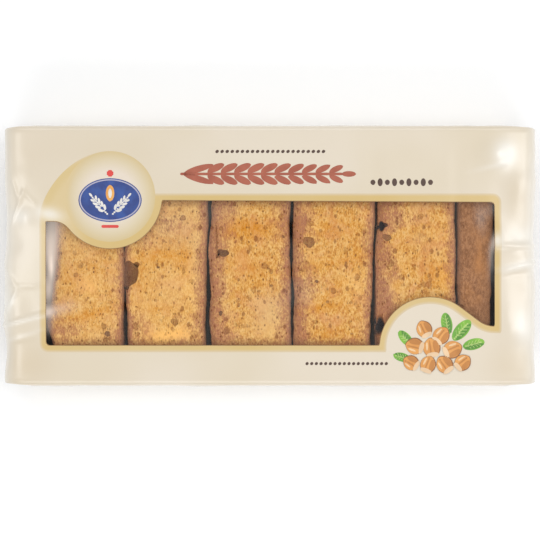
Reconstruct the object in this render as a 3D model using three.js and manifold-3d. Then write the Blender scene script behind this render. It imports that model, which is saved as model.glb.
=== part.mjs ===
// A sealed flow-wrap pack of cake rusks, lying on its back with its window side up.
// Five rusks lie side by side and a sixth stands on its edge beside them, in a shallow
// tray. One tube of film holds them: it is tucked in at both ends, crimped across, and
// joined along the back by a lap seam. Millimetres, +X along the pack, +Z up, with the
// origin under the middle of the pack, on the surface that it lies on.
import * as THREE from "three";
import { mergeVertices } from "three/addons/utils/BufferGeometryUtils.js";
import Module from "manifold-3d";

const wasm = await Module();
wasm.setup();

// Driving dimensions
const packLength = 266;
const packWidth = 129.6;
const packHeight = 40;

// The row of rusks inside, which the top film follows
const rowStart = -108.3; // left edge of the first rusk
const firstRuskWidth = 36;
const flatRuskWidth = 39.1;
const ruskGap = 2;
const flatRusks = 5;

// The tube of film, where it is straight
const tubeEnd = 110; // half length of the straight part
const footWidth = 123; // across the base, which is narrower than the top
const baseRadius = 3;
const topRadius = 3.5;
const crown = 0.5; // how far the middle of the top stands above its long edges
const grooveDepth = 0.4; // sag of the film into the gap between two rusks
const grooveHalfWidth = 5;
const grooveReach = 59; // how far the sag runs towards each long edge
const grooveFade = 14;
const railHalfGap = 27; // the pack stands on two long rails on each side of this gap
const railSlope = 9;
const backLift = 0.8; // height of the back between the rails

// The ends, which are tucked in and sealed
const sealHeight = 19; // where top and bottom film meet at each end
const sealHalfWidth = 63;
const sealGap = 0.5; // half of the film's thickness at the seal, as modelled
const tuckDepth = 12; // how far each side is pushed in at the ends
const topEndHandles = { along: 13, beyond: 1, drop: 5 }; // how roundly the top film bends down
const backEndHandles = { along: 10, short: 4, rise: 5 };
const backEndShort = 1.7; // the back film meets the seal this far inside the end
const pucker = { depth: 0.9, wave: 6.5, swell: 17, backShare: 0.4 }; // soft folds across the ends

// Seams
const lapSeam = { from: -3, to: 9, thickness: 0.35, edge: 0.3 };
const finDrop = 12; // the crimped fin hangs this far below the seal line
const finThickness = 0.9;
const toothPitch = 3;
const toothDepth = 1.4;

// How finely the film is divided
const cornerSteps = 3;
const sideSteps = 8;
const endSteps = 11;
const backLines = [40, 50]; // lines along the back, as distances from its middle
const topLines = [52, 44, 35, 26, 17, 8]; // and along the top

const half = packLength / 2;
const lerp = THREE.MathUtils.lerp;
const smooth = (value, from, to) => THREE.MathUtils.smoothstep(value, from, to);

// Middles of the gaps between the rusks, from left to right
function gapMiddles() {
  const first = rowStart + firstRuskWidth + ruskGap / 2;
  return Array.from({ length: flatRusks }, (_, rusk) => first + rusk * (flatRuskWidth + ruskGap));
}

// Half of the tube's section, from the middle of the back, round the side, to the middle
// of the top. Each point has y, its height above the back or below the top, and q, its
// share of the way from the back film (0) to the top film (1).
function halfSection(side) {
  const points = [];
  const add = (y, rise, q) => points.push({ y: side * y, rise, q });
  const footEdge = footWidth / 2 - baseRadius;
  const topEdge = packWidth / 2 - topRadius;
  const seamEdge = side > 0 ? lapSeam.to : -lapSeam.from;
  const railLines = [railHalfGap - railSlope, railHalfGap];
  for (const y of [seamEdge, seamEdge + lapSeam.edge, ...railLines, ...backLines]) {
    add(y, backHeight(side * y), 0);
  }
  for (let step = 0; step <= cornerSteps; step++) {
    const turn = (step / cornerSteps) * (Math.PI / 2);
    add(footEdge + baseRadius * Math.sin(turn), baseRadius * (1 - Math.cos(turn)), 0);
  }
  for (let step = 1; step < sideSteps; step++) {
    const share = step / sideSteps;
    add(sideReach(share), 0, share);
  }
  for (let step = 0; step <= cornerSteps; step++) {
    const turn = (step / cornerSteps) * (Math.PI / 2);
    add(topEdge + topRadius * Math.cos(turn), topRadius * (Math.sin(turn) - 1), 1);
  }
  for (const y of topLines) add(y, 0, 1);
  return points;
}

// Distance of the side film from the middle. The sides lean out, most of all low down.
function sideReach(q) {
  return lerp(footWidth, packWidth, Math.sin(q * Math.PI / 2)) / 2;
}

// The back is raised between the rails, and the lap seam lies in that hollow.
function backHeight(y) {
  const lift = backLift * (1 - smooth(Math.abs(y), railHalfGap - railSlope, railHalfGap));
  const inSeam = y >= lapSeam.from && y <= lapSeam.to;
  return lift - (inSeam ? lapSeam.thickness : 0);
}

// The closed section, counterclockwise as seen from the right end.
function fullSection() {
  return [...halfSection(1), ...halfSection(-1).reverse()];
}

// Sag of the top film into the gaps, and its low crown across the pack. The sag fades out
// towards the long edges, where the tray's rim holds the film up.
function topRelief(x, y) {
  const across = y / (packWidth / 2);
  const open = 1 - smooth(Math.abs(y), grooveReach - grooveFade, grooveReach);
  let height = -crown * across * across;
  for (const gap of gapMiddles()) {
    const away = Math.min(1, Math.abs(x - gap) / grooveHalfWidth);
    height -= open * grooveDepth * 0.5 * (1 + Math.cos(Math.PI * away));
  }
  return height;
}

// At each end the top film bends down and the back film bends up to one seal line.
const topEnd = new THREE.CubicBezierCurve(
  new THREE.Vector2(tubeEnd, packHeight),
  new THREE.Vector2(tubeEnd + topEndHandles.along, packHeight),
  new THREE.Vector2(half + topEndHandles.beyond, packHeight - topEndHandles.drop),
  new THREE.Vector2(half - finThickness + 0.2, sealHeight + sealGap),
);
const backEnd = new THREE.CubicBezierCurve(
  new THREE.Vector2(tubeEnd, 0),
  new THREE.Vector2(tubeEnd + backEndHandles.along, 0),
  new THREE.Vector2(half - backEndHandles.short, backEndHandles.rise),
  new THREE.Vector2(half - backEndShort, sealHeight - sealGap),
);

// Stations along the pack: where each one is, and how far it is into an end (0 to 1).
function stations() {
  const middle = [-tubeEnd];
  let last = -tubeEnd;
  for (const gap of gapMiddles()) {
    const span = gap - grooveHalfWidth - last;
    middle.push(last + span / 3, last + (2 * span) / 3);
    for (const share of [-1, -0.5, 0, 0.5, 1]) middle.push(gap + share * grooveHalfWidth);
    last = gap + grooveHalfWidth;
  }
  middle.push((last + tubeEnd) / 2, tubeEnd);
  const shares = Array.from({ length: endSteps }, (_, step) => (step + 1) / endSteps);
  return [
    ...shares.map((into) => ({ end: -1, into })).reverse(),
    ...middle.map((x) => ({ end: 0, into: 0, x })),
    ...shares.map((into) => ({ end: 1, into })),
  ];
}

// One point of the film at a station.
function filmPoint({ end, into, x: stationX }, { y, rise, q }) {
  const top = topEnd.getPoint(into);
  const back = backEnd.getPoint(into);
  const stay = 1 - smooth(into, 0, 0.9); // the tube's own corners and relief fade out
  const relief = q === 1 ? topRelief(end === 0 ? stationX : end * tubeEnd, y) : 0;
  // The rounded corners stand inside the flat top and back by their radius.
  const topLevel = top.y + (q === 1 ? rise : -topRadius) * stay;
  const backLevel = back.y + (q === 0 ? rise : baseRadius) * stay;
  const z = lerp(backLevel, topLevel, q) + relief * stay;
  if (end === 0) return new THREE.Vector3(stationX, y, z);
  // The sides are pushed in along their middle and close again at the seal.
  const tuck = tuckDepth * smooth(into, 0.05, 0.65) * (1 - smooth(into, 0.7, 1));
  const fold = 1 - Math.abs(2 * q - 1);
  const sealReach = Math.abs(y) * (sealHalfWidth / sideReach(q));
  const reach = lerp(Math.abs(y), sealReach, smooth(into, 0, 1)) - tuck * fold;
  const ripple = Math.abs(Math.sin(y / pucker.wave + end) * Math.cos(y / pucker.swell));
  const inward = pucker.depth * Math.sin(Math.PI * into) * ripple * (q === 1 ? 1 : pucker.backShare);
  return new THREE.Vector3(end * (lerp(back.x, top.x, q) - inward), Math.sign(y) * reach, z);
}

// The filled tube of film as one closed surface, with a flat lid on each seal line.
function filledTube() {
  const section = fullSection();
  const rows = stations().map((station) => section.map((point) => filmPoint(station, point)));
  const count = section.length;
  const faces = [];
  for (let row = 0; row + 1 < rows.length; row++) {
    for (let at = 0; at < count; at++) {
      const a = row * count + at;
      const b = row * count + ((at + 1) % count);
      faces.push(a, b, b + count, a, b + count, a + count);
    }
  }
  const lastRow = (rows.length - 1) * count;
  // Each lid is a strip between matching points of the two halves of the section.
  for (let at = 0; at + 1 < count / 2; at++) {
    const across = count - 1 - at;
    faces.push(at, across, at + 1, at + 1, across, across - 1);
    faces.push(lastRow + at, lastRow + at + 1, lastRow + across);
    faces.push(lastRow + at + 1, lastRow + across - 1, lastRow + across);
  }
  return new THREE.BufferGeometry().setFromPoints(rows.flat()).setIndex(faces);
}

// The crimped fin: a thin strip that hangs from the seal line, with a zigzag cut edge.
function finSeal(end) {
  const teeth = Math.round((2 * sealHalfWidth) / toothPitch);
  const outline = new THREE.Shape();
  outline.moveTo(-sealHalfWidth, 0);
  for (let tooth = 0; tooth < teeth; tooth++) {
    const y = -sealHalfWidth + tooth * toothPitch;
    outline.lineTo(y, -finDrop);
    outline.lineTo(y + toothPitch / 2, -finDrop - toothDepth);
  }
  outline.lineTo(sealHalfWidth, -finDrop);
  outline.lineTo(sealHalfWidth, 0);
  const fin = new THREE.ExtrudeGeometry(outline, { depth: finThickness, bevelEnabled: false });
  // The outline's x runs along Y and its y along Z, so the thickness runs along X.
  fin.applyMatrix4(new THREE.Matrix4().makeBasis(
    new THREE.Vector3(0, 1, 0),
    new THREE.Vector3(0, 0, 1),
    new THREE.Vector3(1, 0, 0),
  ));
  return fin.translate(end > 0 ? half - finThickness : -half, 0, sealHeight + sealGap);
}

function solidOf(geometry) {
  const bare = geometry.clone();
  bare.deleteAttribute("normal");
  bare.deleteAttribute("uv");
  const merged = mergeVertices(bare);
  return new wasm.Manifold(new wasm.Mesh({
    numProp: 3,
    vertProperties: merged.attributes.position.array,
    triVerts: new Uint32Array(merged.index.array),
  }));
}

function geometryOf(solid) {
  const { vertProperties, triVerts } = solid.getMesh();
  const geometry = new THREE.BufferGeometry();
  geometry.setAttribute("position", new THREE.BufferAttribute(vertProperties, 3));
  geometry.setIndex(new THREE.BufferAttribute(triVerts, 1));
  geometry.computeVertexNormals();
  return geometry;
}

const film = new THREE.MeshStandardMaterial({ color: 0xe8dac0, roughness: 0.3, metalness: 0 });

const packSolid = solidOf(filledTube()).add(solidOf(finSeal(-1))).add(solidOf(finSeal(1)));
const pack = new THREE.Mesh(geometryOf(packSolid), film);
pack.name = "rusk_pack";

const group = new THREE.Group();
group.add(pack);
export default group;
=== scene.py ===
import math
import bmesh
import bpy
import numpy as np
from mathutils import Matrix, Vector


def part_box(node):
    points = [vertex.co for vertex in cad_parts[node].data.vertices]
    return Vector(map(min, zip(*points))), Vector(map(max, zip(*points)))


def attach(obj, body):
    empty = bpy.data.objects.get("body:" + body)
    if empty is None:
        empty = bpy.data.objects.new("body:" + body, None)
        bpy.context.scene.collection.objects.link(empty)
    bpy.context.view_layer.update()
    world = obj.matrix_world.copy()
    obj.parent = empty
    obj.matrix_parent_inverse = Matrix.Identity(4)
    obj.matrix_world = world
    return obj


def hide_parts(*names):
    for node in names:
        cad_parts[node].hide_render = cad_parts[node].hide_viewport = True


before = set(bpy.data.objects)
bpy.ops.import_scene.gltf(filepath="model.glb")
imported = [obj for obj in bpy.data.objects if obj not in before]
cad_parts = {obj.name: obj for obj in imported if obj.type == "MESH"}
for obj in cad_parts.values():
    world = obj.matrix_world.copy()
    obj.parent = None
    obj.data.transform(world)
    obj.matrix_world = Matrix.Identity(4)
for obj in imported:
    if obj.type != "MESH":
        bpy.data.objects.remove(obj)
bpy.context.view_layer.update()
mm = 0.001  # lengths below are in millimetres, and every mesh is made in metres

low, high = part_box("rusk_pack")
pack = {
    "half": (high[0] - low[0]) / 2 / mm,
    "halfWidth": (high[1] - low[1]) / 2 / mm,
    "height": high[2] / mm,
}
print("pack is", [round(2 * pack["half"]), round(2 * pack["halfWidth"]), round(pack["height"])], "mm")


def smooth(value, start, end):
    share = np.clip((value - start) / (end - start), 0, 1)
    return share * share * (3 - 2 * share)


def fade(value, start, end):  # 1 up to the start, falling to 0 at the end
    return 1 - smooth(value, start, end)


def softNoise(x, y, cell, seed):  # smooth random heights from -1 to 1, about one hill per cell
    size = 64  # the lattice repeats after so many cells
    lattice = np.random.default_rng(seed).uniform(-1, 1, (size, size))
    u = np.asarray(x) / cell
    v = np.asarray(y) / cell
    i = np.floor(u).astype(int)
    j = np.floor(v).astype(int)
    s = smooth(u - i, 0, 1)
    t = smooth(v - j, 0, 1)
    near, far = [
        lattice[i % size, k % size] * (1 - s) + lattice[(i + 1) % size, k % size] * s for k in (j, j + 1)
    ]
    return near * (1 - t) + far * t


def bezier(points, share):
    a, b, c, d = [np.array(point, float) for point in points]
    t = np.asarray(share)[:, None]
    return a * (1 - t) ** 3 + 3 * b * t * (1 - t) ** 2 + 3 * c * t * t * (1 - t) + d * t ** 3


def softPatch(x, y, px, py, length, width, turn=0):  # 1 in the middle of an ellipse, fading out round it
    angle = math.radians(turn)
    dx = x - px
    dy = y - py
    along = (dx * math.cos(angle) + dy * math.sin(angle)) / length
    aside = (dy * math.cos(angle) - dx * math.sin(angle)) / width
    return np.exp(-(along ** 2 + aside ** 2))


def patchSum(x, y, patches):  # patches are (x, y, half length, half width, strength, maybe a turn)
    total = 0 * x
    for px, py, length, width, strength, *turn in patches:
        total = total + strength * softPatch(x, y, px, py, length, width, *turn)
    return total


def newObject(name, data):
    thing = bpy.data.objects.new(name, data)
    bpy.context.collection.objects.link(thing)
    return thing


def addPiece(name, points, faces, materials, slots=None, soft=True):
    mesh = bpy.data.meshes.new(name)
    mesh.from_pydata((np.asarray(points) * mm).tolist(), [], faces)
    for material in materials:
        mesh.materials.append(material)
    if slots is not None:
        mesh.polygons.foreach_set("material_index", np.asarray(slots, dtype=np.int32))
    mesh.polygons.foreach_set("use_smooth", [soft] * len(mesh.polygons))
    mesh.update()
    piece = newObject(name, mesh)
    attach(piece, "root")
    return piece


def stacked(x, y, z):  # points of a grid, from arrays that may be a row, a column or a number
    return np.stack(np.broadcast_arrays(x, y, z), axis=-1)


def paint(piece, name, values):  # keeps a value from 0 to 1 on each point, for its material
    clipped = np.clip(values, 0, 1).astype(np.float32)
    piece.data.attributes.new(name, "FLOAT", "POINT").data.foreach_set("value", clipped)


def gridFaces(rows, columns, closed=False):
    across = columns if closed else columns - 1
    faces = []
    for row in range(rows - 1):
        for column in range(across):
            after = (column + 1) % columns
            here = row * columns
            faces.append((here + column, here + after, here + columns + after, here + columns + column))
    return faces


def gridMesh(points, rows, columns, closed=False):
    mesh = bmesh.new()
    verts = [mesh.verts.new(point) for point in points]
    for face in gridFaces(rows, columns, closed):
        mesh.faces.new([verts[index] for index in face])
    return mesh


def takeMesh(mesh):  # the points and faces of a bmesh, which isn't needed after that
    mesh.verts.index_update()
    points = np.array([vert.co for vert in mesh.verts])
    faces = [[vert.index for vert in face.verts] for face in mesh.faces]
    mesh.free()
    return points, faces


def faceMiddles(mesh):
    return np.array([face.calc_center_median() for face in mesh.faces])


def turned(x, y, along, aside, turn):  # a place near x, y, so far along the turn and beside it
    ahead = x + along * math.cos(turn) - aside * math.sin(turn)
    return ahead, y + along * math.sin(turn) + aside * math.cos(turn)


def waved(wave, x, y, number=0):  # a wave is its height, the width of a hill and a seed
    height, cell, seed = wave
    return height * softNoise(x, y, cell, seed + number)


class Nodes:  # a short way to write a node tree
    def __init__(self, tree):
        self.tree = tree

    def add(self, kind, inputs=None, **settings):
        node = self.tree.nodes.new("ShaderNode" + kind)
        for key, value in settings.items():
            setattr(node, key, value)
        for key, value in (inputs or {}).items():
            self.feed(value, node.inputs[key])
        return node

    def feed(self, value, socket):
        if isinstance(value, bpy.types.NodeSocket):
            self.tree.links.new(value, socket)
        elif isinstance(value, tuple) and len(value) == 3 and len(socket.default_value) == 4:
            socket.default_value = (*value, 1)
        else:
            socket.default_value = value

    def math(self, operation, a, b=0.0, c=0.0, clamp=False):
        node = self.add("Math", {0: a, 1: b, 2: c}, operation=operation, use_clamp=clamp)
        return node.outputs[0]

    def times(self, a, b, clamp=False):
        return self.math("MULTIPLY", a, b, clamp=clamp)

    def timesPlus(self, a, b, c, clamp=False):  # a times b, plus c
        return self.math("MULTIPLY_ADD", a, b, c, clamp)

    def mix(self, factor, a, b):
        node = self.add("Mix", {"Factor": factor, 6: a, 7: b}, data_type="RGBA")
        return node.outputs[2]

    def tint(self, colour, second, mask, share):  # so much of a second colour where the mask is 1
        return self.mix(self.times(mask, share), colour, second)

    def ramp(self, factor, stops):
        node = self.add("ValToRGB", {"Fac": factor})
        band = node.color_ramp
        while len(band.elements) < len(stops):
            band.elements.new(1.0)
        for element, (place, colour) in zip(band.elements, stops):
            element.position = place
            element.color = (*colour, 1)
        return node.outputs["Color"]

    def remap(self, value, fromLow, fromHigh, toLow=0.0, toHigh=1.0):
        inputs = {"Value": value, "From Min": fromLow, "From Max": fromHigh}
        inputs |= {"To Min": toLow, "To Max": toHigh}
        return self.add("MapRange", inputs, interpolation_type="SMOOTHSTEP").outputs[0]

    def noise(self, scale, detail=2.0, vector=None, roughness=0.5):
        inputs = {"Scale": scale, "Detail": detail, "Roughness": roughness}
        if vector is not None:
            inputs["Vector"] = vector
        return self.add("TexNoise", inputs).outputs["Fac"]

    def place(self):
        return self.add("TexCoord").outputs["Object"]

    def stretch(self, vector, scale):
        return self.add("Mapping", {"Vector": vector, "Scale": scale}).outputs[0]

    def channel(self, colour, number):
        return self.add("SeparateColor", {0: colour}).outputs[number]

    def painted(self, name):  # a value kept on the points of the mesh
        return self.add("Attribute", attribute_name=name).outputs["Fac"]

    def bump(self, height, strength, distance):
        inputs = {"Strength": strength, "Distance": distance, "Height": height}
        return self.add("Bump", inputs).outputs[0]

    def group(self, tree, **inputs):  # a _ in an input's name stands for a space, here and below
        named = {key.replace("_", " "): value for key, value in inputs.items()}
        return self.add("Group", named, node_tree=tree)

    def dress(self, **inputs):  # feeds the material's own shader
        shader = self.tree.nodes["Principled BSDF"]
        for key, value in inputs.items():
            self.feed(value, shader.inputs[key.replace("_", " ")])


def newMaterial(name):
    material = bpy.data.materials.new(name)
    material.use_nodes = True
    return material, Nodes(material.node_tree)


def newGroup(name, inputs, outputs):
    tree = bpy.data.node_groups.new(name, "ShaderNodeTree")
    for label, value in inputs.items():
        socket = tree.interface.new_socket(name=label, in_out="INPUT", socket_type="NodeSocketFloat")
        socket.default_value = value
    for label in outputs:
        tree.interface.new_socket(name=label, in_out="OUTPUT", socket_type="NodeSocketFloat")
    given = tree.nodes.new("NodeGroupInput").outputs
    result = tree.nodes.new("NodeGroupOutput").inputs
    return tree, Nodes(tree), given, result


def makeFilmRipple():  # fine unevenness of thin film: a height, and a mask that varies its gloss
    inputs = {"Scale": 45.0, "Fine": 0.12}
    tree, nodes, given, result = newGroup("filmRipple", inputs, ["Height", "Gloss"])
    place = nodes.place()
    broad = nodes.noise(given["Scale"], 3.0, place)
    fine = nodes.noise(nodes.times(given["Scale"], 9.0), 2.0, place)
    nodes.feed(nodes.timesPlus(fine, given["Fine"], broad), result["Height"])
    nodes.feed(broad, result["Gloss"])
    return tree


def makeBakedSpeckle():  # pores and mottling of baked cake: masks from 0 to 1, and a height
    tree, nodes, given, result = newGroup(
        "bakedSpeckle",
        {"Pore Scale": 800.0, "Pore Size": 0.4, "Large Share": 0.4},
        ["Mottle", "Pores", "Height"],
    )
    place = nodes.place()
    long = nodes.stretch(place, (1.0, 0.62, 1.0))  # pores are a little longer across the pack
    warp = nodes.add("TexNoise", {"Vector": place, "Scale": 900.0, "Detail": 2.0})
    warped = {0: warp.outputs["Color"], 1: (0.0007, 0.0007, 0.0007)}
    bent = nodes.add("VectorMath", warped, operation="MULTIPLY")
    moved = nodes.add("VectorMath", {0: long, 1: bent.outputs[0]}, operation="ADD").outputs[0]
    small = nodes.add("TexVoronoi", {"Vector": moved, "Scale": given["Pore Scale"]})
    chance = nodes.channel(small.outputs["Color"], 0)
    reach = nodes.times(given["Pore Size"], nodes.timesPlus(chance, 0.75, 0.25))
    smallPores = nodes.remap(small.outputs["Distance"], reach, nodes.times(reach, 0.3))
    depth = nodes.math("POWER", nodes.channel(small.outputs["Color"], 1), 2.2)
    depth = nodes.timesPlus(depth, 0.8, 0.2)
    smallPores = nodes.times(smallPores, depth)
    coarse = nodes.times(given["Pore Scale"], 0.31)
    large = nodes.add("TexVoronoi", {"Vector": moved, "Scale": coarse})
    pick = nodes.channel(large.outputs["Color"], 1)
    kept = nodes.math("LESS_THAN", pick, given["Large Share"])
    wide = nodes.timesPlus(pick, 0.4, 0.12)
    largePores = nodes.remap(large.outputs["Distance"], wide, nodes.times(wide, 0.5))
    largePores = nodes.times(nodes.times(largePores, kept), 0.75)
    pores = nodes.math("MAXIMUM", smallPores, largePores)
    mottle = nodes.noise(400.0, 4.0, long, 0.62)
    grain = nodes.noise(1300.0, 2.0, nodes.stretch(place, (1.25, 0.55, 1.0)), 0.6)
    rise = nodes.timesPlus(grain, 0.6, mottle)
    nodes.feed(nodes.math("SUBTRACT", rise, pores), result["Height"])
    nodes.feed(nodes.timesPlus(grain, 0.62, nodes.times(mottle, 0.38)), result["Mottle"])
    nodes.feed(pores, result["Pores"])
    return tree


filmRipple = makeFilmRipple()
bakedSpeckle = makeBakedSpeckle()

filmFinish = {
    "cream": (0.662, 0.57, 0.428),
    "creamPale": (0.695, 0.609, 0.488),
    "gold": (0.605, 0.43, 0.165),
    "goldPale": (0.68, 0.555, 0.335),
    "discMiddle": (0.72, 0.625, 0.515),
    "discWarm": (0.655, 0.55, 0.372),
    "discRim": (0.603, 0.47, 0.246),
    "arcGold": (0.626, 0.476, 0.226),
    "arcPale": (0.645, 0.503, 0.273),
    "bandEdge": (0.63, 0.51, 0.335),
    # white of the painted sheen, which stands for highlights on the print
    "sheenWhite": (0.84, 0.81, 0.75),
    # colour of the painted glare on the clear film
    "milk": (0.88, 0.72, 0.61),
    # cream of the painted shade
    "creamShaded": (0.618, 0.514, 0.367),
    "roughness": 0.3, "glossSpread": 0.08, "coat": 0.8, "coatRoughness": 0.24,
    "waveHeight": 0.08, "seamWaveHeight": 0.04, "waveDepth": 0.002, "sheenShare": 0.7,
    "goldClouds": 0.25, "bandEdgeReach": (0, 0.14), "arcReach": (0.12, 0.5), "nearDisc": (1.65, 1.35),
    "discStops": (0, 0.56, 0.8, 1), "discJoin": (0.84, 1),  # from the disc's middle to its rim
    "clear": (0.985, 0.985, 0.98), "shine": (1.0, 0.93, 0.86),
    "faceShine": 0.006, "glanceShine": 0.6, "hazeShine": 0.16,  # light thrown back by the clear film
}


def filmShader(name, waveHeight=filmFinish["waveHeight"]):
    material, nodes = newMaterial(name)
    wave = nodes.group(filmRipple).outputs
    nodes.dress(
        Roughness=nodes.timesPlus(wave["Gloss"], filmFinish["glossSpread"], filmFinish["roughness"]),
        Normal=nodes.bump(wave["Height"], waveHeight, filmFinish["waveDepth"]),
        Coat_Weight=filmFinish["coat"], Coat_Roughness=filmFinish["coatRoughness"], IOR=1.45,
    )
    return material, nodes


def clouds(nodes, scale, detail, least=0.35):  # a soft mask of clouds
    return nodes.remap(nodes.noise(scale, detail, nodes.place()), least, 1 - least)


def sheened(nodes, colour):  # painted sheen: whiter where highlights are painted on the film
    return nodes.tint(colour, filmFinish["sheenWhite"], nodes.painted("paintedSheen"), filmFinish["sheenShare"])


def makeCreamPrint(name, waveHeight=filmFinish["waveHeight"]):
    material, nodes = filmShader(name, waveHeight)
    colour = nodes.mix(clouds(nodes, 14.0, 2.0), filmFinish["cream"], filmFinish["creamPale"])
    # painted shade: a deeper cream where it is painted
    colour = nodes.mix(nodes.painted("deep"), colour, filmFinish["creamShaded"])
    # painted sheen whitens the cream where it is painted
    nodes.dress(Base_Color=sheened(nodes, colour))
    return material


def fromDisc(nodes):  # distance from the middle of the disc, as a share of its radius
    centre = tuple(part * mm for part in (*window["disc"], pack["height"]))
    away = nodes.add("VectorMath", {0: nodes.place(), 1: centre}, operation="DISTANCE")
    return nodes.math("DIVIDE", away.outputs["Value"], window["discRadius"] * mm)


def leftOfDisc(nodes):  # grows from 0 to 1 where the disc runs into the wide arc
    along = nodes.add("SeparateXYZ", {0: nodes.place()}).outputs[0]
    start, end = window["joins"]
    return nodes.remap(along, start * mm, end * mm)


def makeGoldPrint():  # the band, pale along its outer edge, and the wide arc, richer along its own
    finish = filmFinish
    material, nodes = filmShader("goldPrint")
    cloud = clouds(nodes, 26.0, 1.0)
    colour = nodes.tint(finish["gold"], finish["goldPale"], cloud, finish["goldClouds"])
    inset = nodes.painted("inset")
    colour = nodes.mix(nodes.remap(inset, *finish["bandEdgeReach"]), finish["bandEdge"], colour)
    arcColour = nodes.mix(nodes.remap(inset, *finish["arcReach"]), finish["arcGold"], finish["arcPale"])
    nearDisc = nodes.remap(fromDisc(nodes), *finish["nearDisc"])
    colour = nodes.tint(colour, arcColour, nearDisc, leftOfDisc(nodes))
    # painted sheen whitens the gold where it is painted
    nodes.dress(Base_Color=sheened(nodes, colour))
    return material


def makeDiscPrint():
    material, nodes = filmShader("discPrint")
    share = fromDisc(nodes)
    stops = zip(filmFinish["discStops"], ("discMiddle", "discMiddle", "discWarm", "discRim"))
    colour = nodes.ramp(share, [(place, filmFinish[name]) for place, name in stops])
    joined = nodes.remap(share, *filmFinish["discJoin"])
    nodes.dress(Base_Color=nodes.tint(colour, filmFinish["arcPale"], joined, leftOfDisc(nodes)))
    return material


def makeInk(name, colour, second=None):
    material, nodes = filmShader(name)
    shade = second or tuple(0.86 * part for part in colour)
    nodes.dress(Base_Color=nodes.mix(clouds(nodes, 180.0, 2.0, 0.3), colour, shade))
    return material


def makeClearFilm():  # clear, glossier where the haze is painted and at grazing angles, and milky white where a glare is painted
    material, nodes = newMaterial("clearFilm")
    nodes.tree.nodes.remove(nodes.tree.nodes["Principled BSDF"])
    wave = nodes.group(filmRipple).outputs
    normal = nodes.bump(wave["Height"], filmFinish["waveHeight"], filmFinish["waveDepth"])
    through = nodes.add("BsdfTransparent", {"Color": filmFinish["clear"]}).outputs[0]
    gloss = {"Color": filmFinish["shine"], "Roughness": filmFinish["coatRoughness"], "Normal": normal}
    shine = nodes.add("BsdfGlossy", gloss).outputs[0]
    # a diffuse white that stands for painted glare
    milk = nodes.add("BsdfDiffuse", {"Color": filmFinish["milk"], "Normal": normal}).outputs[0]
    facing = nodes.add("LayerWeight", {"Blend": 0.5, "Normal": normal}).outputs["Facing"]
    grazing = nodes.math("POWER", facing, 4.0)
    glance = nodes.timesPlus(grazing, filmFinish["glanceShine"], filmFinish["faceShine"])
    share = nodes.timesPlus(nodes.painted("haze"), filmFinish["hazeShine"], glance, clamp=True)
    surface = nodes.add("MixShader", {0: share, 1: through, 2: shine}).outputs[0]
    # painted glare mixed in where it is painted
    surface = nodes.add("MixShader", {0: nodes.painted("milk"), 1: surface, 2: milk}).outputs[0]
    nodes.feed(surface, nodes.tree.nodes["Material Output"].inputs["Surface"])
    return material


ruskFinish = {
    "bronze": (0.47, 0.18, 0.03),
    "honey": (0.68, 0.345, 0.078),
    "sand": (0.8, 0.485, 0.175),
    "rose": (0.64, 0.285, 0.13),
    "amber": (0.61, 0.232, 0.015),
    "brown": (0.4, 0.165, 0.08),
    # umber is painted shade at the crumb's edges, on its sides and in the print's shadow
    "umber": (0.2, 0.085, 0.04),
    # colour of the painted highlight on the crumb
    "glow": (0.98, 0.53, 0.15),
    # painted shade in the hollows, nearly black in the deepest
    "hollow": (0.19, 0.085, 0.045),
    "cavityShade": (0.03, 0.026, 0.028),
    "pore": (0.21, 0.06, 0.01),
    "side": (0.215, 0.088, 0.034),
    "sidePale": (0.4, 0.19, 0.088),
    "sideWarm": (0.5, 0.215, 0.07),
    "shares": {"rose": 0.45, "sand": 0.75, "glow": 0.8, "sidePores": 0.35, "sideEdge": 0.6},
}


def makeCrumb():
    finish = ruskFinish
    material, nodes = newMaterial("toastedCrumb")
    speckle = nodes.group(bakedSpeckle, Pore_Scale=860.0, Pore_Size=0.55, Large_Share=0.5).outputs
    painted = {name: nodes.painted(name) for name in ("pale", "glow", "toast", "crustAndShade", "rim", "hollow")}
    grainy = nodes.remap(speckle["Mottle"], 0.38, 0.62)
    toasted = nodes.math("SUBTRACT", 1.0, nodes.times(grainy, 0.35))
    mottled = [(0.39, finish["bronze"]), (0.49, finish["honey"]), (0.6, finish["sand"])]
    colour = nodes.ramp(speckle["Mottle"], mottled)
    flush = nodes.remap(nodes.noise(110.0, 3.0, nodes.place(), 0.6), 0.45, 0.68)
    # rose and sand are tones of the crumb, and the last is a painted highlight
    for name, mask in (("rose", flush), ("sand", painted["pale"]), ("glow", painted["glow"])):
        colour = nodes.tint(colour, finish[name], mask, finish["shares"][name])
    colour = nodes.tint(colour, finish["amber"], painted["toast"], toasted)
    # browned crust, with painted shade beside the gaps and the painted shadow of the print near its lower
    # edge
    edge = nodes.timesPlus(nodes.math("SUBTRACT", grainy, 0.5), -0.6, painted["crustAndShade"], clamp=True)
    edge = nodes.times(edge, nodes.remap(painted["crustAndShade"], 0.02, 0.25))
    colour = nodes.mix(edge, colour, finish["brown"])
    # painted shade: umber where the rim is painted, at the edges beside the gaps, on the sides and in the
    # shadow of the print
    colour = nodes.mix(painted["rim"], colour, finish["umber"])
    darkened = nodes.math("MAXIMUM", painted["crustAndShade"], painted["toast"])
    dark = nodes.times(speckle["Pores"], nodes.timesPlus(darkened, 0.3, 0.8), clamp=True)
    colour = nodes.mix(dark, colour, finish["pore"])
    # painted shade in the hollows, by their painted darkness
    inside = [(0.4, finish["pore"]), (0.75, finish["hollow"]), (0.98, finish["cavityShade"])]
    colour = nodes.mix(painted["hollow"], colour, nodes.ramp(painted["hollow"], inside))
    roughness = nodes.remap(speckle["Mottle"], 0.3, 0.7, 0.78, 0.9)
    nodes.dress(Base_Color=colour, Roughness=roughness, IOR=1.35)
    nodes.dress(Normal=nodes.bump(speckle["Height"], 0.7, 0.0005))
    return material


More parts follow.
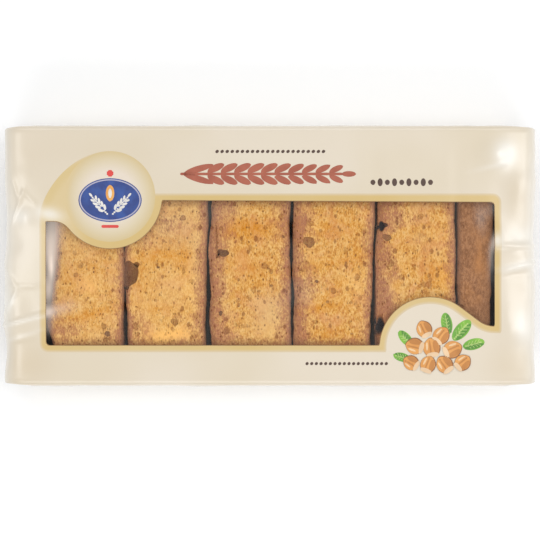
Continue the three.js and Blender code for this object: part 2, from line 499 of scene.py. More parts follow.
def makeCrust():  # the browned side of the rusk that stands on its edge
    finish = ruskFinish
    material, nodes = newMaterial("bakedCrust")
    speckle = nodes.group(bakedSpeckle, Pore_Scale=1100.0, Pore_Size=0.34, Large_Share=0.12).outputs
    streaks = nodes.noise(900.0, 3.0, nodes.stretch(nodes.place(), (1.0, 0.55, 1.0)), 0.65)
    share = nodes.timesPlus(streaks, 0.6, nodes.times(speckle["Mottle"], 0.4))
    colour = nodes.mix(nodes.remap(share, 0.38, 0.62), finish["side"], finish["sidePale"])
    colour = nodes.mix(nodes.painted("toast"), colour, finish["sideWarm"])
    # pores darkened with the colour of the painted shade in the hollows
    colour = nodes.tint(colour, finish["hollow"], speckle["Pores"], finish["shares"]["sidePores"])
    # browned edges, and painted shade at the lower right from a patch
    colour = nodes.tint(colour, finish["side"], nodes.painted("crustAndShade"), finish["shares"]["sideEdge"])
    # painted shade: umber where the rim is painted
    colour = nodes.mix(nodes.painted("rim"), colour, finish["umber"])
    nodes.dress(Base_Color=colour, Roughness=nodes.remap(streaks, 0.3, 0.7, 0.7, 0.85), IOR=1.35)
    nodes.dress(Normal=nodes.bump(speckle["Height"], 0.5, 0.0004))
    return material


# The window and the fields of print round it, in millimetres on the pack's top.
window = {
    "left": -110.0, "right": 111.7, "bottom": -44.5, "top": 27.5, "topRight": 26.6,
    "corner": 1.8, "sharpCorner": 0.7, "bandCorner": 0.8,
    "disc": (-78.3, 29.2), "discRadius": 22.4, "band": 3.2,
    "shoulder": (-106.2, 7.1),  # centre of the small round shoulder left of the disc
    "sweep": (-113.0, 18.0), "sweepTurn": 95, "sweepHandles": (20.0, 11.0),  # the curve left of the disc
    "bump": (79.7, -45.4), "bumpRadius": 24.8,
    "dip": (111.6, -22.0), "dipRadius": 13.1,
    "joins": (-88.0, -101.0),  # where the disc's rim runs into the wide arc
    "darkWindowEdge": 0.3, "insetReach": 12.0,
}


def arc(centre, radius, start, end, steps=24):
    turns = np.radians(np.linspace(start, end, steps))
    return [(centre[0] + radius * math.cos(turn), centre[1] + radius * math.sin(turn)) for turn in turns]


def corner(x, y, radius, start):  # a quarter circle that turns left, inside the corner at x, y
    centre = turned(x, y, -radius * math.sqrt(2), 0, math.radians(start + 45))
    return arc(centre, radius, start, start + 90, 6)


def turnTo(start, end):
    return math.degrees(math.atan2(end[1] - start[1], end[0] - start[0]))


def lowerRight(inset):  # the edge over the bump at the lower right and round the dip beside it
    w = window
    bumpRadius = w["bumpRadius"] + inset
    dipRadius = w["dipRadius"] - inset
    turn = turnTo(w["bump"], w["dip"])
    turn += math.degrees(math.acos((bumpRadius + dipRadius) / math.dist(w["bump"], w["dip"])))
    start = 180 - math.degrees(math.asin((w["bottom"] + inset - w["bump"][1]) / bumpRadius))
    return arc(w["bump"], bumpRadius, start, turn) + arc(w["dip"], dipRadius, turn + 180, 270, 12)


def windowOutline(inset):  # the edge of the clear window, drawn in by the inset
    w = window
    reach = w["discRadius"] + w["band"] + inset
    shoulderRadius = math.dist(w["disc"], w["shoulder"]) - reach
    shoulderTurn = turnTo(w["shoulder"], w["disc"])
    discStart = math.degrees(math.asin((w["top"] - inset - w["disc"][1]) / reach))
    return (
        corner(w["left"] + inset, w["bottom"] + inset, w["corner"], 180)
        + lowerRight(inset)
        + corner(w["right"] - inset, w["topRight"] - inset, w["corner"], 0)
        + arc(w["disc"], reach, discStart, shoulderTurn - 180, 40)
        + arc(w["shoulder"], shoulderRadius, shoulderTurn, 90, 12)
        + corner(w["left"] + inset, w["shoulder"][1] + shoulderRadius, w["sharpCorner"], 90)
    )


def goldOutline():  # the outer edge of the band, the disc and the curve left of the disc
    w = window
    bandTop = w["top"] + w["band"]
    bandRight = w["right"] + w["band"]
    outer = w["corner"] + w["band"] - w["bandCorner"]
    discEnd = math.degrees(math.asin((bandTop - w["disc"][1]) / w["discRadius"]))
    overDisc = arc(w["disc"], w["discRadius"], discEnd, w["sweepTurn"])
    away, rise = w["sweepHandles"]
    leaving = turned(*overDisc[-1], 0, away, math.radians(w["sweepTurn"]))
    arriving = (w["sweep"][0], w["sweep"][1] + rise)
    sweep = bezier((overDisc[-1], leaving, arriving, w["sweep"]), np.linspace(0, 1, 40)[1:])
    return (
        corner(w["sweep"][0], w["bottom"] - w["band"], outer, 180)
        + lowerRight(-w["band"])
        + corner(bandRight, w["dip"][1] - w["dipRadius"] - w["band"], w["bandCorner"], 270)
        + corner(bandRight, bandTop, outer, 0)
        + overDisc
        + [tuple(point) for point in sweep]
    )


def lens(x, y, length, width, turn, sharp=1.5, steps=18):  # a grain or leaf, pointed at both ends
    points = []
    for step in range(2 * steps):
        angle = math.pi * step / steps
        along = length / 2 * math.cos(angle)
        aside = width / 2 * math.copysign(abs(math.sin(angle)) ** sharp, math.sin(angle))
        points.append(turned(x, y, along, aside, turn))
    return points


def bar(start, end, width):  # a straight stroke with round ends
    turn = turnTo(start, end)
    return arc(end, width / 2, turn - 90, turn + 90, 7) + arc(start, width / 2, turn + 90, turn + 270, 7)


def ellipse(x, y, halfLength, halfHeight, steps=48):
    return [(x + a * halfLength, y + b * halfHeight) for a, b in arc((0, 0), 1, 0, 360, steps + 1)[:-1]]


def distanceTo(outline, x, y):  # negative inside the outline
    points = np.array(outline)
    after = np.roll(points, -1, axis=0)
    nearest = np.full(x.shape, 1e9)
    inside = np.zeros(x.shape, bool)
    for (ax, ay), (bx, by) in zip(points, after):
        dx = bx - ax
        dy = by - ay
        span = dx * dx + dy * dy
        if span < 1e-12:
            continue
        along = np.clip(((x - ax) * dx + (y - ay) * dy) / span, 0, 1)
        nearest = np.minimum(nearest, np.hypot(x - ax - along * dx, y - ay - along * dy))
        if ay != by:
            crossing = ((ay > y) != (by > y)) & (x < dx * (y - ay) / dy + ax)
            inside ^= crossing
    return np.where(inside, -nearest, nearest)


def cutAlong(mesh, outline, wanted):  # splits the faces of a bmesh where the outline crosses them
    verts = [vert for vert in mesh.verts if wanted(*vert.co)]
    x = np.array([vert.co.x for vert in verts])
    y = np.array([vert.co.y for vert in verts])
    away = distanceTo(outline, x, y)
    away[np.abs(away) < 1e-5] = 1e-5
    value = dict(zip(verts, away))
    onLine = set()
    for edge in list(mesh.edges):
        a, b = edge.verts
        if a in value and b in value and value[a] * value[b] < 0:
            onLine.add(bmesh.utils.edge_split(edge, a, value[a] / (value[a] - value[b]))[1])
    for face in {face for vert in onLine for face in vert.link_faces}:
        ends = [vert for vert in face.verts if vert in onLine]
        if len(ends) == 2:
            bmesh.utils.face_split(face, ends[0], ends[1])


film = {
    "tubeEnd": 110.0, "footWidth": 123.0, "topRadius": 3.5, "baseRadius": 3.0,
    "crown": 0.5, "grooveDepth": 0.15, "grooveHalfWidth": 6.0, "grooveReach": (45.0, 59.0),
    "railHalfGap": 27.0, "railSlope": 9.0, "backLift": 0.8,
    "sealHeight": 19.0, "sealHalfWidth": 62.2, "tuckDepth": 12.0, "endShifts": (0.1, 1.2),
    "topHandles": (19.5, 0.2, 0.0), "backHandles": (10.0, 4.0, 5.0),
    "topSeal": (0.7, 0.6), "backSeal": (1.7, -0.4),  # how far short of the seal and above its middle
    "cell": 1.05, "sideCell": 2.4, "endSteps": 54, "footSteps": 5, "sideSteps": 22, "shoulderSteps": 6,
    "crumpledFrom": (108, 124),  # how far from the middle the crumpled ends begin
    "pulledFrom": (60, 112), "pullLean": (0.8, 0.2),  # creases drawn to the seal, and how they lean
    "backRipple": 0.25, "backFlat": (62, 20), "cornerFrom": (50, 60), "gatherDepth": 0.1,
}
ends = {  # shares of the way from the tube to the seal, between which each change goes on
    "rounding": (0, 0.9), "tuck": (0.05, 0.65), "untuck": (0.7, 1), "narrowing": (0.1, 1),
    "shift": (0, 0.5), "flatten": (0.8, 1), "gather": (0.25, 0.6), "ungather": (0.88, 1),
    "backFlatten": (0.7, 1), "corner": (0.3, 0.7),
}
waves = {  # random unevenness of the film: height, width of a hill and seed
    "top": (0.08, 19, 3), "ends": (0.25, 9, 5), "side": (0.7, 17, 11), "sideFine": (0.25, 6, 12),
    "haze": (0.06, 11, 17), "pull": (0.7, 6, 14), "gather": (0.6, 17, 31), "back": (1, 15, 13),
    "fin": (0.35, 14, 21),
}
folds = {  # of the crumpled film near both ends
    "count": 16, "acrossX": (106, 134), "reachY": 62.0, "slope": 0.12, "cell": 15.0, "soft": 0.14,
    "height": 0.9, "inside": (34.0, 46.0), "seeds": (15, 8),
}
row = {
    "start": -108.3, "firstWidth": 36.0, "width": 39.1, "gap": 2.0, "length": 114.0,
    "thickness": 18.2, "top": 37.4, "radius": 1.4, "edgeHeight": 35.3,
}

# Ridges in the film: start and end on the top, half width and height.
creases = [
    ((-134, -35.5), (-111, -28.6), 1.1, 0.9),
    ((-112, -29.8), (-95, -24.0), 2.8, 0.7),
    ((-129, -42.5), (-111, -38.7), 1.2, 0.45),
    ((-131, -29.5), (-124.5, -17), 1.1, 0.7),
    ((-127, -15.3), (-114, -14.9), 1.1, 0.4),
    ((-130, -5.2), (-125.5, -14.6), 1.0, 0.7),
    ((-127, 39), (-123.5, 27), 1.1, 0.6),
    ((-121, 31.5), (-115, 25.5), 1.0, 0.5),
    ((-121, 32), (-127.5, 16), 1.0, 0.7),
    ((-105.5, 18), (-105.0, -20), 6.0, 0.5),
    ((103, 42.3), (117, 45.5), 1.2, 0.3),
    ((110, 4.5), (133, 5), 1.6, 0.9),
    ((114, -8.5), (134, -3), 1.6, 1.0),
    ((-18, 41), (6, 44), 5.0, 0.15),
]
# Patches on the film: place, half sizes, strength and, where turned, the turn in degrees.
# First its soft dents and swellings, with their heights.
dents = [
    (112, 50.5, 6.8, 6.8, 1.9), (117, 10, 7.5, 7.5, 0.8), (119, -35, 5, 9, 0.8, -6),
    (123, -8.5, 8, 2.6, -0.6), (-120, 19, 3.4, 4.4, 0.7), (-127, 6, 5, 5, -0.6), (-112, 4, 13, 30, 1),
]
# Where the clear film is hazier or clearer.
hazes = [
    (10, 13, 32, 3.6, -0.36), (-12, 13, 11, 4.4, -0.3), (14, 12, 6, 5, -0.25),
    (21, -6, 27, 2.8, -0.45, 13.5), (-92, -30.5, 21, 2.3, -0.4, 15), (-62, -25.5, 17, 2.3, -0.38, -4),
    (-52, -0.5, 12, 4.5, -0.38, 8), (24, -26.8, 13, 2.4, -0.42, 3), (32, -17, 9, 2.4, -0.3, 45),
    (28, -39, 10, 3, -0.35), (80, -10, 13, 3.6, -0.32, -24), (-42, -33, 12, 6, -0.1, 20),
    (1.5, -27, 13, 8, 0.55, 42), (18, -17, 7, 6, 0.42), (-45.5, 20, 14, 9, 0.4), (-98, 4, 14, 12, 0.2),
    (-106.5, 12, 4, 7, 0.7), (-108.5, -2, 3.5, 20, 0.55, -6), (-103, -28, 9, 4.5, 0.55, 20),
    (104.5, 18, 2.6, 7, 0.9, 8), (108.5, 22, 3, 4, 0.6, -30), (110, -4, 1.8, 8, 0.7),
    (-28, 20, 3, 8, 0.3), (60, -20, 12, 8, 0.12, 20), (-22, 22, 12, 4, 0.15), (-45, 7, 13, 8, 0.5),
]
gapHaze = {"everywhere": 0.07, "strength": 0.26, "halfWidth": 1.8}  # haze is denser over the gaps
# Where the clear film is given a painted glare of milky white, and where the printed film is whitened by
# a painted sheen in place of its highlights.
paintedGlares = [
    (-107.8, 4, 2.8, 12, 0.58), (-107, -6, 1.3, 6, 0.55, 2), (-108.3, -17, 2.4, 7, 0.55),
    (-106.5, 16.5, 4, 3, 0.08), (-103.5, 12, 3.5, 6, 0.12), (-103.5, -26.5, 8, 2.4, 0.22, 14),
    (-108.6, -28, 3, 3.2, 0.5), (-108.5, -35, 2, 3.4, 0.22), (-105, 3, 2, 14, 0.28),
    (110.9, 6, 1.5, 4.6, 0.42, -12), (109.6, -1, 1.2, 5, 0.12),
]
paintedSheens = [
    (117.2, 50.2, 5.6, 6.6, 1.4), (109.8, 43.9, 9, 1.3, 0.35, 13), (123.6, 9.6, 7, 5, 0.7),
    (112.9, 7.2, 2.2, 3.6, 1), (124, -5, 9, 2, 0.9, 13), (125.3, -35, 4.4, 9, 1, 6),
    (131, 0, 3.6, 80, 0.75), (-130.5, 0, 4, 80, 0.75), (-122.6, 19.5, 5, 4, 0.7), (-119.7, 3, 9, 28, 0.2),
    (-129, -22, 3.5, 7, 0.3), (-108, 20.4, 6.5, 3.2, 1, -12), (-111.5, -14, 2.2, 26, 0.12),
    (-121, -32.3, 12, 1.1, 0.6, 14), (-127, -23, 6, 1, 0.5, 60), (-121, -39.5, 9, 1.1, 0.35, 18),
]
# Painted shade: where the printed film is a deeper cream.
paintedShades = [
    (-119, -53, 13, 12, 0.9), (119, -55, 12, 11, 0.6), (-116, 52, 34, 14, 0.4), (122, 30, 6, 12, 0.5),
]


def gapMiddles():
    first = row["start"] + row["firstWidth"] + row["gap"] / 2
    return [first + step * (row["width"] + row["gap"]) for step in range(5)]


def creaseHeight(x, y, crease):
    (ax, ay), (bx, by), width, height = crease
    span = math.hypot(bx - ax, by - ay)
    along = ((x - ax) * (bx - ax) + (y - ay) * (by - ay)) / span ** 2
    aside = ((x - ax) * (by - ay) - (y - ay) * (bx - ax)) / span
    inside = smooth(along, -0.25, 0.2) * fade(along, 0.8, 1.25)
    return height * inside / (1 + (aside / width) ** 2) ** 1.5


def facets(x, y, seed):  # nearly flat faces that meet in soft folds and valleys, as in crumpled film
    random = np.random.default_rng(seed)
    total = 0
    for sign in (1, -1):
        planes = []
        for _ in range(folds["count"]):
            px = random.uniform(*folds["acrossX"])
            py = random.uniform(-folds["reachY"], folds["reachY"])
            turn = random.uniform(0, 2 * math.pi)
            steep = folds["slope"] * random.uniform(0.3, 1)
            plane = steep * ((x - px) * math.cos(turn) + (y - py) * math.sin(turn))
            planes.append(plane - (np.hypot(x - px, y - py) / folds["cell"]) ** 2)
        highest = np.logaddexp.reduce(np.array(planes) / folds["soft"], axis=0)
        total = total + sign * folds["soft"] * highest
    inside = fade(np.abs(y), *folds["inside"])
    return folds["height"] * np.tanh(total / folds["height"]) * inside


def filmRelief(x, y):
    height = -film["crown"] * (y / pack["halfWidth"]) ** 2
    held = fade(np.abs(y), *film["grooveReach"])
    for gap in gapMiddles():
        away = np.minimum(1, np.abs(x - gap) / film["grooveHalfWidth"])
        height = height - held * film["grooveDepth"] * 0.5 * (1 + np.cos(math.pi * away))
    for crease in creases:
        height = height + creaseHeight(x, y, crease)
    height = height + patchSum(x, y, dents)
    nearEnd = smooth(np.abs(x), *film["crumpledFrom"])
    height = height + waved(waves["top"], x, y) + nearEnd * waved(waves["ends"], x, y)
    left, right = [facets(np.abs(x), y, seed) for seed in folds["seeds"]]
    crumpled = np.where(x > 0, right, left)
    return height + nearEnd * crumpled


def filmHeight(x, y):  # the top film between the two ends
    return pack["height"] + filmRelief(x, y)


def backHeight(y):
    edge = film["railHalfGap"]
    return film["backLift"] * fade(np.abs(y), edge - film["railSlope"], edge)


def sideWidth(q):  # full width of the film at a share of its height
    return film["footWidth"] + (2 * pack["halfWidth"] - film["footWidth"]) * np.sin(q * math.pi / 2)


def halfSection(side):  # (y, rise, q) from the middle of the back to the middle of the top
    points = []
    footEdge = film["footWidth"] / 2 - film["baseRadius"]
    topEdge = pack["halfWidth"] - film["topRadius"]
    for y in np.arange(0.0 if side > 0 else film["sideCell"], footEdge, film["sideCell"]):
        points.append((y, float(backHeight(y)), 0.0))
    for turn in np.linspace(0, math.pi / 2, film["footSteps"]):
        rise = film["baseRadius"] * (1 - math.cos(turn))
        points.append((footEdge + film["baseRadius"] * math.sin(turn), rise, 0.0))
    for share in np.linspace(0, 1, film["sideSteps"])[1:-1]:
        points.append((sideWidth(share) / 2, 0.0, share))
    for turn in np.linspace(0, math.pi / 2, film["shoulderSteps"]):
        fall = film["topRadius"] * (math.sin(turn) - 1)
        points.append((topEdge + film["topRadius"] * math.cos(turn), fall, 1.0))
    inner = np.linspace(topEdge, 0, round(topEdge / film["cell"]) + 1)[1:]
    points += [(y, 0.0, 1.0) for y in (inner if side > 0 else inner[:-1])]
    return [(side * y, rise, q) for y, rise, q in points]


def endLine(share, height, handles, seal):  # x and z of a line of film from the tube to the seal
    along, short, rise = handles
    return bezier((
        (film["tubeEnd"], height),
        (film["tubeEnd"] + along, height),
        (pack["half"] - short, height + rise),
        (pack["half"] - seal[0], film["sealHeight"] + seal[1]),
    ), share)


def filmGrid():
    section = halfSection(1) + halfSection(-1)[::-1]
    y, rise, q = [np.array(column)[None, :] for column in zip(*section)]
    into = np.linspace(0, 1, film["endSteps"] + 1)[1:]
    middle = np.linspace(-film["tubeEnd"], film["tubeEnd"], 1 + round(2 * film["tubeEnd"] / film["cell"]))
    end = np.concatenate([-np.ones(len(into)), np.zeros(len(middle)), np.ones(len(into))])[:, None]
    straight = np.concatenate([0 * into, middle, 0 * into])[:, None]
    share = np.concatenate([into[::-1], 0 * middle, into])
    topLine = endLine(share, pack["height"], film["topHandles"], film["topSeal"])
    backLine = endLine(share, 0, film["backHandles"], film["backSeal"])
    share = share[:, None]
    stay = fade(share, *ends["rounding"])
    topZ = topLine[:, 1:] + np.where(q == 1.0, rise, -film["topRadius"]) * stay
    backZ = backLine[:, 1:] + np.where(q == 0.0, rise, film["baseRadius"]) * stay
    z = backZ + (topZ - backZ) * q
    tuck = film["tuckDepth"] * smooth(share, *ends["tuck"]) * fade(share, *ends["untuck"])
    fold = 1 - np.abs(2 * q - 1)
    sealReach = np.abs(y) * 2 * film["sealHalfWidth"] / sideWidth(q)
    reach = np.abs(y) + (sealReach - np.abs(y)) * smooth(share, *ends["narrowing"])
    across = np.sign(y) * (reach - tuck * fold)
    x = backLine[:, :1] + (topLine[:, :1] - backLine[:, :1]) * q
    shift = np.where(end < 0, *film["endShifts"])
    x = np.where(end == 0, straight, end * x + shift * smooth(share, *ends["shift"]))
    return crumple(stacked(x, across, z), np.broadcast_to(q, z.shape), share)


def crumple(points, q, share):  # pushes the film in and out along its own normal
    along = np.gradient(points, axis=0)
    around = np.gradient(points, axis=1)
    normal = np.cross(around, along)
    normal /= np.maximum(np.linalg.norm(normal, axis=-1, keepdims=True), 1e-9)
    x, y, z = points[..., 0], points[..., 1], points[..., 2]
    loose = fade(share, *ends["flatten"])
    top = smooth(q, 0.9, 1) * loose
    sideways = (1 - top) * (q > 0) * loose * (1 - 0.7 * q)
    lean, drift = film["pullLean"]
    pull = waved(waves["pull"], np.abs(x) - lean * z, 30 * np.sign(y) + drift * z)
    pull = pull * smooth(np.abs(x), *film["pulledFrom"])
    swell = waved(waves["side"], x, z) + waved(waves["sideFine"], x, z) + pull
    gathered = smooth(share, *ends["gather"]) * fade(share, *ends["ungather"]) * smooth(q, 0.3, 0.9)
    gather = waved(waves["gather"], y, 40 * np.sign(x)) - film["gatherDepth"]
    back = (q == 0) * smooth(np.abs(y), *film["backFlat"]) * fade(share, *ends["backFlatten"])
    ripple = film["backRipple"] * (1 + waved(waves["back"], x, y))
    height = top * filmRelief(x, y) + sideways * swell + gathered * gather - back * ripple
    atCorner = smooth(share, *ends["corner"]) * smooth(np.abs(y), *film["cornerFrom"])
    return points + normal * (height * (1 - atCorner))[..., None]


print("film: the tube, its ends and its wrinkles")
grid = filmGrid()
tube = gridMesh(grid.reshape(-1, 3), *grid.shape[:2], closed=True)
tube.normal_update()
topReach = {"x": 124, "y": pack["halfWidth"] - film["topRadius"] - 0.01, "z": pack["height"] - 4}


def onTop(x, y, z):
    return (abs(x) < topReach["x"]) & (abs(y) < topReach["y"]) & (z > topReach["z"])


print("film: cutting the window and the fields of print")
fields = [goldOutline(), arc(window["disc"], window["discRadius"], 0, 360, 73)[:-1]]
fields += [windowOutline(0), windowOutline(window["darkWindowEdge"])]
for outline in fields:
    cutAlong(tube, outline, onTop)
middles = faceMiddles(tube)
isTopFace = onTop(*middles.T)
field = np.zeros(len(middles), dtype=np.int32)  # 0 cream, 1 gold, 2 disc, 3 dark line inside the window's edge, 4 clear
for number, outline in enumerate(fields, start=1):
    field[isTopFace & (distanceTo(outline, middles[:, 0], middles[:, 1]) < 0)] = number
tubePoints, tubeFaces = takeMesh(tube)


def takeFaces(wanted):
    chosen = [face for face, keep in zip(tubeFaces, wanted) if keep]
    used = sorted({index for face in chosen for index in face})
    place = {index: at for at, index in enumerate(used)}
    return tubePoints[used], [[place[index] for index in face] for face in chosen]


inkColours = {  # some with a second colour for their clouds
    # a thin dark line just inside the window's edge
    "darkWindowEdge": [(0.33, 0.19, 0.07)],
    "navy": [(0.02, 0.045, 0.2), (0.03, 0.08, 0.3)],
    "pale": [(0.78, 0.74, 0.68)],
    "lilac": [(0.45, 0.42, 0.52)],
    "honey": [(0.8, 0.42, 0.11), (0.72, 0.31, 0.06)],
    "red": [(0.72, 0.06, 0.05)],
    "terracotta": [(0.34, 0.085, 0.045), (0.4, 0.11, 0.06)],
    "umber": [(0.085, 0.045, 0.03)],
    "nut": [(0.72, 0.335, 0.088), (0.64, 0.27, 0.062)],
    "nutPale": [(0.8, 0.56, 0.34)],
    "nutDark": [(0.29, 0.105, 0.03)],
    "nutShine": [(0.84, 0.56, 0.3)],
    "nutShade": [(0.53, 0.215, 0.05)],
    "leaf": [(0.23, 0.48, 0.05), (0.13, 0.34, 0.035)],
    "leafDark": [(0.09, 0.26, 0.03)],
    "vein": [(0.45, 0.62, 0.18)],
}
inks = {name: makeInk(name + "Ink", *colours) for name, colours in inkColours.items()}
points, faces = takeFaces(field != 4)
printed = [makeCreamPrint("creamPrint"), makeGoldPrint(), makeDiscPrint(), inks["darkWindowEdge"]]
printedFilm = addPiece("printed_film", points, faces, printed, field[field != 4])
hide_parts("rusk_pack")
x, y = points[:, 0], points[:, 1]
paint(printedFilm, "inset", -distanceTo(fields[0], x, y) / window["insetReach"])
upper = points[:, 2] > film["sealHeight"]
# painted sheen: patches whitened where highlights fall on the printed film
paint(printedFilm, "paintedSheen", upper * patchSum(x, y, paintedSheens))
# painted shade: a deeper cream in patches near the ends
paint(printedFilm, "deep", upper * patchSum(x, y, paintedShades))
points, faces = takeFaces(field == 4)
windowFilm = addPiece("window_film", points, faces, [makeClearFilm()])
x, y = points[:, 0], points[:, 1]
haze = gapHaze["everywhere"] + patchSum(x, y, hazes) + waved(waves["haze"], x, y)
for gap in gapMiddles():
    haze += gapHaze["strength"] * np.exp(-((x - gap) / gapHaze["halfWidth"]) ** 2)
paint(windowFilm, "haze", haze)
# painted glare: milky white over the window along its glare streaks
paint(windowFilm, "milk", patchSum(x, y, paintedGlares))

seam = {
    "cell": 0.35, "ribPitch": 1.4, "ribHeight": 0.16, "ribsFrom": (0.03, 0.12), "thickness": 0.3,
    "rows": 19, "above": 0.6, "inside": 0.75, "drop": 12.0, "toothPitch": 3.0, "toothDepth": 1.4,
}
lap = {
    "from": -3.0, "to": 9.0, "short": 9.0, "steps": (320, 25), "ribPitch": 1.5, "ribHeight": 0.05,
    "sunk": 0.35, "edgeRise": 0.25, "edgeWidth": 0.6, "endRise": 6.5, "endLength": 13,
}


def ribs(settings, across):
    return settings["ribHeight"] * np.sin(across * 2 * math.pi / settings["ribPitch"])


def addFin(name, side, material):  # a thin crimped sheet with teeth along its lower edge
    half = film["sealHalfWidth"]
    across = np.linspace(-half, half, 1 + round(2 * half / seam["cell"]))
    down = np.linspace(0, 1, seam["rows"])[:, None]
    tooth = seam["toothDepth"] * np.abs(2 * ((across / seam["toothPitch"]) % 1) - 1)
    z = film["sealHeight"] + seam["above"] - (seam["drop"] + tooth) * down
    sway = down * waved(waves["fin"], across, 0 * across, side)
    rib = ribs(seam, across) * smooth(down, *seam["ribsFrom"])
    outer = pack["half"] - seam["inside"] + sway + rib + side * film["endShifts"][side > 0]
    sheets = [stacked(side * x, across, z).reshape(-1, 3) for x in (outer, outer - seam["thickness"])]
    count = len(across)
    size = seam["rows"] * count
    front = gridFaces(seam["rows"], count)
    faces = front + [tuple(index + size for index in face[::-1]) for face in front]
    for at in range(size - count, size - 1):
        faces.append((at, at + 1, size + at + 1, size + at))
    if side > 0:
        faces = [face[::-1] for face in faces]
    return addPiece(name, np.concatenate(sheets), faces, [material])


def addBackSeam(material):  # a lap of film along the back, with fine ribs
    rows, columns = lap["steps"]
    reach = pack["half"] - lap["short"]
    along = np.linspace(-reach, reach, rows)[:, None]
    across = np.linspace(lap["from"], lap["to"], columns)[None, :]
    edge = np.minimum(across - lap["from"], lap["to"] - across)
    lift = smooth(np.abs(along), reach - lap["endLength"], reach) * lap["endRise"]
    z = film["backLift"] - lap["sunk"] + ribs(lap, across)
    z = z + lap["edgeRise"] * fade(edge, 0, lap["edgeWidth"]) + lift
    points = stacked(along, across, z).reshape(-1, 3)
    return addPiece("back_seam", points, gridFaces(rows, columns), [material])


print("film: crimped seams")
seamFilm = makeCreamPrint("seamFilm", filmFinish["seamWaveHeight"])
addFin("left_fin", -1, seamFilm)
addFin("right_fin", 1, seamFilm)
addBackSeam(seamFilm)
